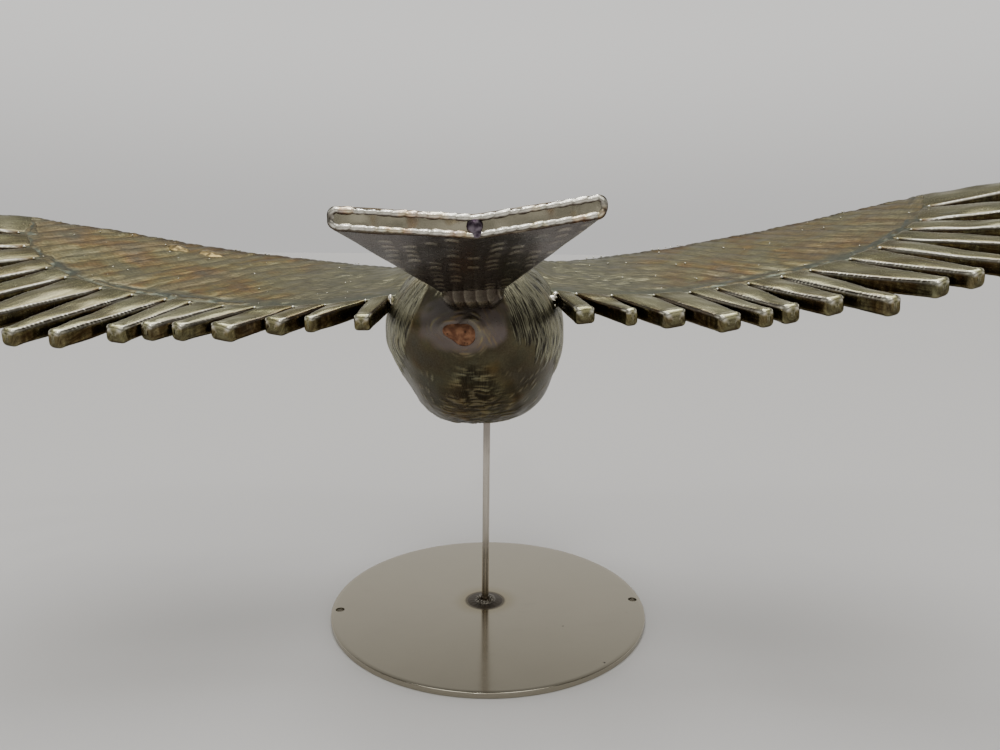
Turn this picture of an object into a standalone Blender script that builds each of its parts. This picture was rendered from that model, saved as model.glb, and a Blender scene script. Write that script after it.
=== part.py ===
# Dove sculpture in welded steel: a bird in flight on a thin rod and a round plate.
# Metres, +Z up. The origin is the middle of the plate's underside.
# The bird flies towards +Y, so its tail comes towards -Y and its wings reach along X.

from math import cos, pi, radians, sin

import bmesh
import bpy
from mathutils import Vector

# Plate, rod and the weld at the rod's foot
plate_diameter = 0.180
plate_thickness = 0.003
plate_edge_round = 0.0004
hole_diameter = 0.005
hole_circle_radius = 0.0852
hole_angles = (radians(3.5), radians(187.0))
rod_diameter = 0.004
rod_foot = (-0.0020, 0.0025)
rod_lean = radians(0.2)
foot_weld_diameter = 0.0205
foot_skirt_height = 0.0008
foot_bead_width = 0.0034
foot_bead_height = 0.0011

# Clearance between touching pieces
gap = 0.0003

# Sides of the round pieces, and the angle from which an edge stays sharp
plate_corners = 96
hole_corners = 24
rod_corners = 24
foot_weld_turns = 28
foot_bead_steps = 5
sharp_edge = radians(35)
body_sharp_edge = radians(60)

# Where the bird hangs over the plate, and how far it banks (right wing up)
bird_place = (-0.0074, 0.0, 0.150)
bird_bank = radians(2.1)

# Wing surface: its height is a parabola outwards, straight beyond the wrist, and slopes backwards
wing_height = 0.038
wing_curve = 0.6
wing_straight_from = 0.200
wing_slope_right = (0.30, 0.0)
wing_slope_left = (0.27, 0.6)
wing_inner_end = 0.024
panel_thickness = 0.0075
panel_front_thickness = 0.003
panel_front_droop = 0.25
panel_chord_steps = (0.0, 0.25, 0.5, 0.75, 0.92, 1.0)

# Leading edge and the seam where the feathers are welded to the panel
front_edge = 0.032
front_sweep_from = 0.120
front_sweep = 0.012
front_sweep_span = 0.130
seam_back = -0.041
seam_deepest_at = 0.130
seam_body_rise = 0.023
seam_body_span = 0.087
seam_wrist_rise = 0.041
seam_wrist_span = 0.113
front_sweep_ends = (0.206, 0.218, 0.229, 0.240, 0.250)

# Feather notches along the seam, outwards, and each feather's length, sweep from
# straight back in degrees and width at the tip. The two hand-made wings differ a little.
# The tips are cut askew to the bars, so that most of them face straight back.
feather_thickness = 0.0075
feather_edge_round = 0.0011
notches_right = (0.043, 0.053, 0.070, 0.090, 0.107, 0.120, 0.135, 0.151,
                 0.165, 0.185, 0.201, 0.212, 0.222, 0.231, 0.243)
notches_left = (0.043, 0.055, 0.074, 0.089, 0.107, 0.122, 0.138, 0.150,
                0.166, 0.182, 0.201, 0.213, 0.223, 0.233, 0.243)
feathers_right = (
    (0.0240, 19, 0.0092), (0.0290, 33, 0.0047), (0.0305, 32, 0.0096), (0.0395, 30, 0.0094),
    (0.0395, 31, 0.0052), (0.0375, 27, 0.0062), (0.0400, 31, 0.0070), (0.0530, 28, 0.0052),
    (0.0530, 36, 0.0062), (0.0540, 31, 0.0058), (0.0640, 32, 0.0058), (0.0760, 40, 0.0060),
    (0.0880, 50, 0.0064), (0.0980, 63, 0.0068), (0.1020, 75, 0.0070))
feathers_left = (
    (0.0235, 13, 0.0076), (0.0245, 38, 0.0042), (0.0225, 39, 0.0090), (0.0300, 40, 0.0104),
    (0.0320, 43, 0.0056), (0.0318, 37, 0.0056), (0.0352, 29, 0.0078), (0.0480, 31, 0.0050),
    (0.0530, 30, 0.0056), (0.0560, 33, 0.0058), (0.0650, 34, 0.0058), (0.0770, 39, 0.0060),
    (0.0880, 49, 0.0064), (0.0980, 64, 0.0068), (0.1020, 74, 0.0070))
tip_skew = 25
wings = {
    "left": {"side": -1, "slope": wing_slope_left,
             "notches": notches_left, "feathers": feathers_left},
    "right": {"side": 1, "slope": wing_slope_right,
              "notches": notches_right, "feathers": feathers_right}}

# Body sections from rump to beak: along, height, pitch of the spine in degrees,
# half width, reach above the spine and reach below it
body_sections = (
    (-0.0620, 0.0210, 0, 0.0060, 0.0050, 0.0050),
    (-0.0590, 0.0205, 0, 0.0150, 0.0125, 0.0120),
    (-0.0510, 0.0180, 0, 0.0265, 0.0215, 0.0220),
    (-0.0380, 0.0145, 0, 0.0380, 0.0320, 0.0345),
    (-0.0200, 0.0130, 0, 0.0455, 0.0390, 0.0465),
    (0.0000, 0.0130, 0, 0.0475, 0.0410, 0.0506),
    (0.0220, 0.0140, 0, 0.0471, 0.0410, 0.0503),
    (0.0430, 0.0180, 6, 0.0430, 0.0380, 0.0470),
    (0.0610, 0.0240, 16, 0.0355, 0.0330, 0.0390),
    (0.0760, 0.0320, 30, 0.0275, 0.0255, 0.0295),
    (0.0880, 0.0420, 40, 0.0205, 0.0190, 0.0215),
    (0.0970, 0.0510, 40, 0.0163, 0.0155, 0.0165),
    (0.1060, 0.0580, 26, 0.0158, 0.0155, 0.0155),
    (0.1160, 0.0610, 6, 0.0155, 0.0148, 0.0138),
    (0.1250, 0.0605, -8, 0.0118, 0.0108, 0.0098),
    (0.1300, 0.0590, -14, 0.0062, 0.0062, 0.0056),
    (0.1390, 0.0565, -16, 0.0040, 0.0038, 0.0033),
    (0.1480, 0.0535, -20, 0.0015, 0.0014, 0.0012))
body_squareness_above = 2.15
body_squareness_below = 2.80
# Below the spine the flanks draw in by this share, the left one more, down to this depth
body_narrowing_left = 0.20
body_narrowing_right = 0.09
body_narrowing_depth = 0.7
rings_between_sections = 2
body_ring_points = 24

# Tail sections from inside the rump to the trailing edge, which is swung a little to the right:
# along, half thickness, then place across and height of its left end, crease and right end.
# The first two are the welded collar on the rump.
tail_sections = (
    (-0.0480, 0.0080, (-0.0120, 0.0380), (0.0010, 0.0380), (0.0140, 0.0380)),
    (-0.0625, 0.0080, (-0.0130, 0.0382), (0.0014, 0.0380), (0.0158, 0.0382)),
    (-0.0650, 0.0044, (-0.0140, 0.0430), (0.0018, 0.0425), (0.0170, 0.0434)),
    (-0.1390, 0.0045, (-0.0461, 0.0698), (0.0062, 0.0657), (0.0530, 0.0716)))
tail_edge_round = 0.0016


def clear_scene():
    for thing in list(bpy.data.objects):
        bpy.data.objects.remove(thing, do_unlink=True)


def new_collection(name):
    group = bpy.data.collections.new(name)
    bpy.context.scene.collection.children.link(group)
    return group


def steel(name, colour, roughness):
    material = bpy.data.materials.new(name)
    material.use_nodes = True
    shader = material.node_tree.nodes["Principled BSDF"]
    shader.inputs["Base Color"].default_value = (*colour, 1.0)
    shader.inputs["Metallic"].default_value = 1.0
    shader.inputs["Roughness"].default_value = roughness
    return material


def place(piece, group, material=None, parent=None):
    for other in list(piece.users_collection):
        other.objects.unlink(piece)
    group.objects.link(piece)
    if material is not None:
        piece.data.materials.append(material)
    if parent is not None:
        piece.parent = parent
    return piece


def smooth(piece, sharp_angle):
    piece.data.shade_smooth()
    piece.data.set_sharp_from_angle(angle=sharp_angle)


def as_cutter(piece):
    piece.hide_render = True
    piece.display_type = "WIRE"
    return piece


def cut(piece, cutter):
    step = piece.modifiers.new("cut " + cutter.name, "BOOLEAN")
    step.operation = "DIFFERENCE"
    step.solver = "EXACT"
    step.object = cutter


def round_edges(piece, width, segments):
    step = piece.modifiers.new("rounded edges", "BEVEL")
    step.width = width
    step.segments = segments
    step.limit_method = "ANGLE"
    step.angle_limit = sharp_edge


def loft(name, rings):
    """Closed skin through rings of equal length, with a face over each end ring."""
    shape = bmesh.new()
    rows = [[shape.verts.new(point) for point in ring] for ring in rings]
    count = len(rows[0])
    for row, following in zip(rows, rows[1:]):
        for i in range(count):
            j = (i + 1) % count
            shape.faces.new((row[i], row[j], following[j], following[i]))
    shape.faces.new(rows[0])
    shape.faces.new(rows[-1])
    bmesh.ops.recalc_face_normals(shape, faces=shape.faces)
    mesh = bpy.data.meshes.new(name)
    shape.to_mesh(mesh)
    shape.free()
    return bpy.data.objects.new(name, mesh)


def cylinder(name, radius, depth, centre, corners, lean=0.0):
    bpy.ops.mesh.primitive_cylinder_add(vertices=corners, radius=radius, depth=depth,
                                        location=centre, rotation=(0.0, lean, 0.0))
    piece = bpy.context.object
    piece.name = name
    return piece


def make_plate(group, cutters, material):
    plate = cylinder("base_disc", plate_diameter / 2, plate_thickness,
                     (0.0, 0.0, plate_thickness / 2), plate_corners)
    place(plate, group, material)
    round_edges(plate, plate_edge_round, 1)
    for angle in hole_angles:
        centre = (hole_circle_radius * cos(angle), hole_circle_radius * sin(angle),
                  plate_thickness / 2)
        hole = cylinder("screw hole", hole_diameter / 2, 3 * plate_thickness, centre, hole_corners)
        place(as_cutter(hole), cutters)
        cut(plate, hole)
    smooth(plate, sharp_edge)


def make_foot_weld(group, material):
    """Turned collar of weld around the rod's foot: a round bead at the rod, then a thin skirt."""
    inner = rod_diameter / 2 + gap
    outer = foot_weld_diameter / 2
    floor = plate_thickness + gap
    skirt_top = plate_thickness + foot_skirt_height
    profile = []
    for step in range(foot_bead_steps + 1):
        angle = pi * step / foot_bead_steps
        profile.append((inner + foot_bead_width * (1 - cos(angle)) / 2,
                        skirt_top + foot_bead_height * sin(angle)))
    profile += [(outer - foot_skirt_height, skirt_top), (outer, floor), (inner, floor)]
    shape = bmesh.new()
    corners = [shape.verts.new((x, 0.0, z)) for x, z in profile]
    for i, corner in enumerate(corners):
        shape.edges.new((corner, corners[(i + 1) % len(corners)]))
    mesh = bpy.data.meshes.new("foot_weld")
    shape.to_mesh(mesh)
    shape.free()
    weld = place(bpy.data.objects.new("foot_weld", mesh), group, material)
    weld.location = (*rod_foot, 0.0)
    turn = weld.modifiers.new("turned", "SCREW")
    turn.steps = foot_weld_turns
    turn.render_steps = foot_weld_turns
    turn.use_merge_vertices = True
    turn.merge_threshold = 0.0001
    turn.use_smooth_shade = True


def make_rod(group, material, body_cutter):
    """Upright rod that leans a little and ends on the underside of the body."""
    foot = plate_thickness + gap
    length = bird_place[2] - foot
    centre = (rod_foot[0] + sin(rod_lean) * length / 2,
              rod_foot[1],
              foot + cos(rod_lean) * length / 2)
    rod = cylinder("rod", rod_diameter / 2, length, centre, rod_corners, rod_lean)
    place(rod, group, material)
    cut(rod, body_cutter)
    smooth(rod, sharp_edge)


def between(sections, i, t):
    """Catmull-Rom value at t on the stretch from section i to the next one."""
    last = len(sections) - 1
    before = sections[max(i - 1, 0)]
    start = sections[i]
    end = sections[i + 1]
    after = sections[min(i + 2, last)]
    return [0.5 * (2 * b + (c - a) * t + (2 * a - 5 * b + 4 * c - d) * t * t
                   + (3 * b - a - 3 * c + d) * t ** 3)
            for a, b, c, d in zip(before, start, end, after)]


def superellipse(value, squareness):
    size = abs(value) ** (2 / squareness)
    return size if value > 0 else -size


def body_rings(extra=0.0):
    """Egg-shaped rings square to the spine, each grown outwards by extra."""
    stations = []
    for i in range(len(body_sections) - 1):
        for step in range(rings_between_sections):
            stations.append(between(body_sections, i, step / rings_between_sections))
    stations.append(body_sections[-1])
    rings = []
    for number, (along, height, pitch, half_width, above, below) in enumerate(stations):
        end_shift = extra * ((number == len(stations) - 1) - (number == 0))
        tilt = radians(pitch)
        ring = []
        for k in range(body_ring_points):
            angle = 2 * pi * k / body_ring_points
            upper = sin(angle) > 0
            squareness = body_squareness_above if upper else body_squareness_below
            rise = superellipse(sin(angle), squareness)
            depth = min(max(-rise / body_narrowing_depth, 0.0), 1.0)
            narrowing = body_narrowing_left if cos(angle) < 0 else body_narrowing_right
            narrowed = 1 - narrowing * depth * depth * (3 - 2 * depth)
            across = superellipse(cos(angle), squareness) * (half_width * narrowed + extra)
            up = rise * ((above if upper else below) + extra)
            ring.append(Vector((across,
                                along + end_shift - up * sin(tilt),
                                height + up * cos(tilt))))
        rings.append(ring)
    return rings


def wing_top(out, along, slope):
    """Height of the wing's upper surface over the bird's own origin."""
    if out < wing_straight_from:
        height = wing_height + wing_curve * out * out
    else:
        edge_slope = 2 * wing_curve * wing_straight_from
        height = wing_height + wing_curve * wing_straight_from ** 2
        height += edge_slope * (out - wing_straight_from)
    return height + (slope[0] + slope[1] * out) * along


def seam_line(out):
    if out < seam_deepest_at:
        return seam_back + seam_body_rise * ((seam_deepest_at - out) / seam_body_span) ** 2
    return seam_back + seam_wrist_rise * ((out - seam_deepest_at) / seam_wrist_span) ** 4


def front_line(out):
    sweep = max(out - front_sweep_from, 0.0) / front_sweep_span
    return front_edge - front_sweep * sweep ** 2


def panel_ring(start, end, wing):
    """Section of the panel from the seam at start to the front edge at end."""
    upper = []
    lower = []
    for v in panel_chord_steps:
        out = start[0] + (end[0] - start[0]) * v
        along = start[1] + (end[1] - start[1]) * v
        top = wing_top(out, along, wing["slope"])
        thin = (panel_thickness - panel_front_thickness) * v * v
        droop = panel_front_droop * thin * v ** 6
        across = wing["side"] * out
        upper.append(Vector((across, along, top - droop)))
        lower.append(Vector((across, along, top - panel_thickness + thin - droop)))
    return upper + lower[::-1]


def make_panel(name, wing, group, material, bird, body_cutter):
    notches = wing["notches"]
    front_points = notches[:-len(front_sweep_ends)] + front_sweep_ends
    starts = [(wing_inner_end, seam_line(notches[0]))]
    starts += [(out, seam_line(out)) for out in notches]
    ends = [(wing_inner_end, front_line(wing_inner_end))]
    ends += [(out, front_line(out)) for out in front_points]
    rings = [panel_ring(start, end, wing) for start, end in zip(starts, ends)]
    panel = place(loft(name, rings), group, material, bird)
    cut(panel, body_cutter)
    smooth(panel, sharp_edge)


def root_ends(notches, number):
    """The two seam points that a feather's root spans, pulled in and out by the gap."""
    corners = [(out, seam_line(out)) for out in notches]
    corners.append((front_sweep_ends[-1], front_line(front_sweep_ends[-1])))
    inner = Vector(corners[number])
    outer = Vector(corners[number + 1])
    run = (outer - inner).normalized()
    away = Vector((run[1], -run[0])) * gap
    return inner + run * gap + away, outer - run * gap + away


def make_feather(name, number, wing, group, material, bird, body_cutter):
    """Box-section bar from its stretch of the seam to a narrow blunt tip."""
    length, sweep, tip_width = wing["feathers"][number]
    inner, outer = root_ends(wing["notches"], number)
    way = Vector((sin(radians(sweep)), -cos(radians(sweep))))
    cut_angle = radians(max(sweep - tip_skew, 0))
    across = Vector((cos(cut_angle), sin(cut_angle)))
    tip = (inner + outer) / 2 + way * length
    tip_inner = tip - across * tip_width / 2
    tip_outer = tip + across * tip_width / 2
    side = wing["side"]
    drop = Vector((0.0, 0.0, feather_thickness))
    rings = []
    for t in (0.0, 0.5, 1.0):
        near = inner.lerp(tip_inner, t)
        far = outer.lerp(tip_outer, t)
        tops = [Vector((side * p[0], p[1], wing_top(p[0], p[1], wing["slope"])))
                for p in (near, far)]
        rings.append([tops[0], tops[1], tops[1] - drop, tops[0] - drop])
    feather = place(loft(name, rings), group, material, bird)
    round_edges(feather, feather_edge_round, 2)
    if number == 0:
        cut(feather, body_cutter)
    smooth(feather, sharp_edge)


def make_tail(group, material, bird, body_cutter):
    """Flat fan with a shallow crease along its middle and a blunt trailing face."""
    rings = []
    for along, half_thickness, *corners in tail_sections:
        upper = [Vector((across, along, height + half_thickness)) for across, height in corners]
        lower = [point - Vector((0.0, 0.0, 2 * half_thickness)) for point in upper]
        rings.append(upper + lower[::-1])
    tail = place(loft("tail", rings), group, material, bird)
    round_edges(tail, tail_edge_round, 2)
    cut(tail, body_cutter)
    smooth(tail, sharp_edge)


def main():
    clear_scene()
    group = new_collection("dove sculpture")
    cutters = new_collection("cutters")
    stand_steel = steel("stand steel", (0.25, 0.22, 0.18), 0.32)
    weld_steel = steel("weld steel", (0.08, 0.07, 0.06), 0.5)
    bird_steel = steel("bird steel", (0.15, 0.14, 0.11), 0.35)
    feather_steel = steel("feather steel", (0.32, 0.31, 0.25), 0.28)

    bird = bpy.data.objects.new("bird frame", None)
    bird.location = bird_place
    bird.rotation_euler = (0.0, -bird_bank, 0.0)
    group.objects.link(bird)

    body = place(loft("body", body_rings()), group, bird_steel, bird)
    smooth(body, body_sharp_edge)
    body_cutter = place(as_cutter(loft("body clearance", body_rings(gap))), cutters, None, bird)

    make_plate(group, cutters, stand_steel)
    make_foot_weld(group, weld_steel)
    make_rod(group, stand_steel, body_cutter)
    make_tail(group, bird_steel, bird, body_cutter)
    for word, wing in wings.items():
        make_panel("wing_panel_" + word, wing, group, bird_steel, bird, body_cutter)
        for number in range(len(wing["feathers"])):
            name = "feather_%s_%02d" % (word, number + 1)
            make_feather(name, number, wing, group, feather_steel, bird, body_cutter)
    bpy.context.view_layer.update()


main()
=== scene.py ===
from math import cos, pi, radians, sin

import bpy
import numpy as np
from mathutils import Matrix, Vector


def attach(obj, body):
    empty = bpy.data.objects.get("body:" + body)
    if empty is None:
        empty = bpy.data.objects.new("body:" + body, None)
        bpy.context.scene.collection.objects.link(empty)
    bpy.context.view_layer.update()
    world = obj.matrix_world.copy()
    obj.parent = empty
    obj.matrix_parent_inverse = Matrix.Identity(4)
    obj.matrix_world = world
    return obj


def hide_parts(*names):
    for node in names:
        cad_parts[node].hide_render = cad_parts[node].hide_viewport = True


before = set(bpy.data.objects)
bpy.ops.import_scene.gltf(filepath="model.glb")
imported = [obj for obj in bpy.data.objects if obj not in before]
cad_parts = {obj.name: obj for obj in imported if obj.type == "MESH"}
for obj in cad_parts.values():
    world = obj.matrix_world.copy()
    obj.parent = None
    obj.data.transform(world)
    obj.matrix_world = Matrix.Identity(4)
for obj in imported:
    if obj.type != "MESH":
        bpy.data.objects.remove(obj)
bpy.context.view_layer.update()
print("frame loaded:", len(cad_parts), "nodes")

# Everything is in metres, +Z up. The bird flies towards +Y and the camera stands behind its tail.
bird = {"place": (-0.0074, 0.0, 0.150), "bank": radians(2.1)}


# Camera, lights and floor

view = {"place": (0.0056, -0.409, 0.2102), "down": radians(10.0), "roll": radians(0.5),
        "lens": 27.0, "sensor": 36.0}
studio = {
    "floorReach": 14.0, "floorSides": 96, "floorColour": (0.62, 0.61, 0.60), "floorMottle": 1.04,
    "floorRough": 0.8,
    "lowColour": (0.62, 0.61, 0.60), "wallColour": (0.90, 0.885, 0.86), "frontColour": (0.30, 0.295, 0.28),
    "topColour": (0.24, 0.235, 0.22), "lightColour": (1.0, 0.98, 0.92), "lightRise": radians(56),
    # where along a direction's part each of these colours takes over
    "wallBlend": (0.0, 0.26), "frontBlend": (-0.45, 0.35), "topBlend": (0.36, 0.70),
    "lightBlend": (0.80, 0.88),
    "sun": {"strength": 1.8, "angle": radians(46), "tilt": (radians(-6), radians(-3), 0.0)},
    "lamps": (
        {"name": "key lamp", "place": (-0.15, -0.95, 1.35), "size": 0.13, "power": 1.6},
        {"name": "fill lamp", "place": (0.05, 0.75, 1.70), "size": 0.13, "power": 1.3}),
    "aim": (0.0, 0.0, 0.15)}


def linked(name, data):
    thing = bpy.data.objects.new(name, data)
    bpy.context.scene.collection.objects.link(thing)
    return thing


def makeCamera():
    data = bpy.data.cameras.new("view camera")
    data.lens = view["lens"]
    data.sensor_width = view["sensor"]
    camera = linked("view camera", data)
    turn = Matrix.Rotation(pi / 2 - view["down"], 3, "X") @ Matrix.Rotation(view["roll"], 3, "Z")
    camera.rotation_euler = turn.to_euler()
    camera.location = view["place"]
    bpy.context.scene.camera = camera


def makeLamps():
    for lamp in studio["lamps"]:
        data = bpy.data.lights.new(lamp["name"], "AREA")
        data.shape = "DISK"
        data.size = lamp["size"]
        data.energy = lamp["power"]
        light = linked(lamp["name"], data)
        light.location = lamp["place"]
        aim = Vector(studio["aim"]) - Vector(lamp["place"])
        light.rotation_euler = aim.to_track_quat("-Z", "Y").to_euler()
    data = bpy.data.lights.new("soft sun", "SUN")
    data.energy = studio["sun"]["strength"]
    data.angle = studio["sun"]["angle"]
    linked("soft sun", data).rotation_euler = studio["sun"]["tilt"]


class Wire:
    # One socket of a node tree. Arithmetic on wires adds Math nodes; add() makes any other node.
    def __init__(self, tree, socket=None):
        self.tree = tree
        self.socket = socket

    def add(self, kind, settings=None, inputs=None, output=0):
        node = self.tree.nodes.new(kind)
        for key, value in (settings or {}).items():
            if key == "stops":
                setStops(node.color_ramp, value)
            else:
                setattr(node, key, value)
        for key, value in (inputs or {}).items():
            if isinstance(value, Wire):
                self.tree.links.new(value.socket, node.inputs[key])
            else:
                node.inputs[key].default_value = value
        return Wire(self.tree, node.outputs[output])

    def other(self, output):
        return Wire(self.tree, self.socket.node.outputs[output])

    def math(self, operation, *values):
        return self.add("ShaderNodeMath", {"operation": operation}, dict(enumerate(values)))

    def __add__(self, other):
        return self.math("ADD", self, other)

    def __radd__(self, other):
        return self.math("ADD", other, self)

    def __sub__(self, other):
        return self.math("SUBTRACT", self, other)

    def __rsub__(self, other):
        return self.math("SUBTRACT", other, self)

    def __mul__(self, other):
        return self.math("MULTIPLY", self, other)

    def sine(self):
        return self.math("SINE", self)

    def absolute(self):
        return self.math("ABSOLUTE", self)

    def atLeast(self, other):
        return self.math("MAXIMUM", self, other)

    def rise(self, low, high):
        # 0 below low, 1 above high, an s-curve between
        return self.add("ShaderNodeMapRange", {"interpolation_type": "SMOOTHSTEP"},
                        {"Value": self, "From Min": low, "From Max": high})

    def ramp(self, *stops):
        return self.add("ShaderNodeValToRGB", {"stops": stops}, {0: self})

    def mixColour(self, first, second, blend="MIX"):
        # this wire is the factor
        return self.add("ShaderNodeMix", {"data_type": "RGBA", "blend_type": blend},
                        {0: self, 6: colour(first), 7: colour(second)}, 2)


def colour(value):
    return value if isinstance(value, Wire) else (*value[:3], 1.0)


def setStops(ramp, stops):
    while len(ramp.elements) < len(stops):
        ramp.elements.new(1.0)
    for element, (place, tone) in zip(ramp.elements, stops):
        element.position = place
        element.color = colour(tone)


def noise(start, vector, scale, detail=3.0, rough=0.5):
    return start.add("ShaderNodeTexNoise", None,
                     {"Vector": vector, "Scale": scale, "Detail": detail, "Roughness": rough})


def stretch(start, vector, scale):
    return start.add("ShaderNodeMapping", None, {"Vector": vector, "Scale": scale})


def bumped(start, strength, distance, height):
    return start.add("ShaderNodeBump", None, {"Strength": strength, "Distance": distance, "Height": height})


def specks(start, place, scale, low, high):
    # 1 on round specks, one at each random point, which fade out between two distances from it
    cells = start.add("ShaderNodeTexVoronoi", {"feature": "F1"}, {"Vector": place, "Scale": scale})
    return 1 - cells.rise(low, high)


def blankMaterial(name):
    # the material, a wire to add nodes with, its shader, and the place in metres
    material = bpy.data.materials.new(name)
    material.use_nodes = True
    start = Wire(material.node_tree)
    shader = material.node_tree.nodes["Principled BSDF"]
    return material, start, shader, start.add("ShaderNodeTexCoord", output=3)


def plug(start, shader, **sockets):
    for words, value in sockets.items():
        socket = shader.inputs[words.replace("_", " ")]
        if isinstance(value, Wire):
            start.tree.links.new(value.socket, socket)
        else:
            socket.default_value = value


def makeFloor():
    bpy.ops.mesh.primitive_circle_add(vertices=studio["floorSides"], radius=studio["floorReach"],
                                      fill_type="NGON")
    floor = bpy.context.object
    floor.name = "floor"
    material, start, shader, place = blankMaterial("pale floor")
    mottled = noise(start, place, 3.0) * 0.6 + noise(start, place, 900.0) * 0.4
    light = tuple(studio["floorMottle"] * value for value in studio["floorColour"])
    plug(start, shader, Base_Color=mottled.mixColour(studio["floorColour"], light),
         Roughness=studio["floorRough"])
    floor.data.materials.append(material)


def makeWorld():
    # beyond the bird a wall that gets brighter with height, then a darker ceiling, and a darker
    # room behind the camera with a wide round of light high up, for the steel to reflect
    world = bpy.data.worlds.new("studio")
    bpy.context.scene.world = world
    world.use_nodes = True
    start = Wire(world.node_tree)
    way = start.add("ShaderNodeTexCoord", output=0)
    parts = start.add("ShaderNodeSeparateXYZ", None, {0: way})
    wall = parts.other(2).rise(*studio["wallBlend"]).mixColour(studio["lowColour"], studio["wallColour"])
    around = parts.other(1).rise(*studio["frontBlend"]).mixColour(studio["frontColour"], wall)
    above = parts.other(2).rise(*studio["topBlend"]).mixColour(around, studio["topColour"])
    # how far a direction agrees with the one that the light lies in
    towards = parts.other(2) * sin(studio["lightRise"]) - parts.other(1) * cos(studio["lightRise"])
    shade = towards.rise(*studio["lightBlend"]).mixColour(above, studio["lightColour"])
    background = world.node_tree.nodes["Background"]
    world.node_tree.links.new(shade.socket, background.inputs["Color"])


makeCamera()
makeLamps()
makeFloor()
makeWorld()
print("camera and studio ready")


# Shapes on grids

def circle(count):
    # the angles of points evenly spaced round a circle
    return 2 * pi * np.arange(count) / count


def stacked(*parts):
    # arrays of shapes that match, side by side along a new last axis
    return np.stack(np.broadcast_arrays(*parts), -1)


def hashed(seed, *counts):
    # whole numbers to a value from 0 to 1: the fraction of a large multiple of a sine
    mix = 37.719 * seed
    for weight, count in zip((127.1, 311.7), counts):
        mix = mix + weight * count
    return np.mod(np.sin(mix) * 43758.5453, 1.0)


def softNoise(seed, across, along):
    # random heights from 0 to 1 on a lattice of whole numbers, blended by s-curves between them
    i, j = np.floor(across), np.floor(along)
    s, t = across - i, along - j
    s, t = s * s * (3 - 2 * s), t * t * (3 - 2 * t)
    near = hashed(seed, i, j) * (1 - s) + hashed(seed, i + 1, j) * s
    far = hashed(seed, i, j + 1) * (1 - s) + hashed(seed, i + 1, j + 1) * s
    return near * (1 - t) + far * t


def strands(seed, across, along, width, length):
    # short weld runs side by side: one random point in each cell of a lattice that is width by
    # length, and a hump round the nearest of them, 1 - distance squared, with its own height
    across, along = across / width, along / length
    i, j = np.floor(across), np.floor(along)
    nearest, tall = np.full(np.shape(across + along), 9.0), 0.0
    for di in (-1, 0, 1):
        for dj in (-1, 0, 1):
            x = i + di + 0.1 + 0.8 * hashed(seed, i + di, j + dj)
            y = j + dj + 0.1 + 0.8 * hashed(seed + 1, i + di, j + dj)
            away = np.hypot(across - x, along - y)
            tall = np.where(away < nearest, hashed(seed + 2, i + di, j + dj), tall)
            nearest = np.minimum(nearest, away)
    return (0.3 + 0.7 * tall) * np.clip(1 - 1.25 * nearest ** 2, 0, 1)


def beadRows(seed, across, along, width, pitch):
    # weld beads side by side: a half cosine across each bead, and coins along it that lap like
    # scales, each a ramp up to a crescent-shaped front
    row = np.floor(across / width)
    side = 2 * (across / width - row) - 1
    place = along / pitch + 0.45 * side ** 2 + hashed(seed, row, 0) + 0.5 * row
    coin = place - np.floor(place)
    lapped = coin * (1 - np.clip((coin - 0.85) / 0.15, 0, 1))
    return np.cos(pi / 2 * side), lapped, hashed(seed + 2, row, np.floor(place))


def smoothStep(low, high, value):
    t = np.clip((value - low) / (high - low), 0, 1)
    return t * t * (3 - 2 * t)


def toWorld(points):
    # turn about Y by the bank, right wing up, then move to the bird's place
    x, y, z = points[..., 0], points[..., 1], points[..., 2]
    c, s = cos(bird["bank"]), sin(bird["bank"])
    return stacked(x * c - z * s, y, x * s + z * c) + np.array(bird["place"])


def lift(grid, height):
    # each point moves by height along the normal: the cross product of the steps around and along
    around = np.roll(grid, -1, 1) - np.roll(grid, 1, 1)
    normal = np.cross(around, np.gradient(grid, axis=0))
    normal /= np.linalg.norm(normal, axis=2, keepdims=True) + 1e-12
    centre = grid.mean(axis=1, keepdims=True)
    outward = np.sign(np.sum(normal * (grid - centre)))
    return grid + outward * height[..., None] * normal


def lengthAlong(path):
    # distance from a path's first point to each of its points
    return np.concatenate([[0.0], np.cumsum(np.linalg.norm(np.diff(path, axis=0), axis=1))])


def reachAlong(grid):
    # distance along the rows: the running sum of the mean step from ring to ring
    steps = np.linalg.norm(np.diff(grid, axis=0), axis=2).mean(axis=1)
    return np.concatenate([[0.0], np.cumsum(steps)])


def reachAround(grid):
    # distance round each ring, from 0 to its whole length
    steps = np.linalg.norm(np.roll(grid, -1, 1) - grid, axis=2)
    return np.concatenate([np.zeros((len(grid), 1)), np.cumsum(steps, axis=1)], axis=1)


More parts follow.
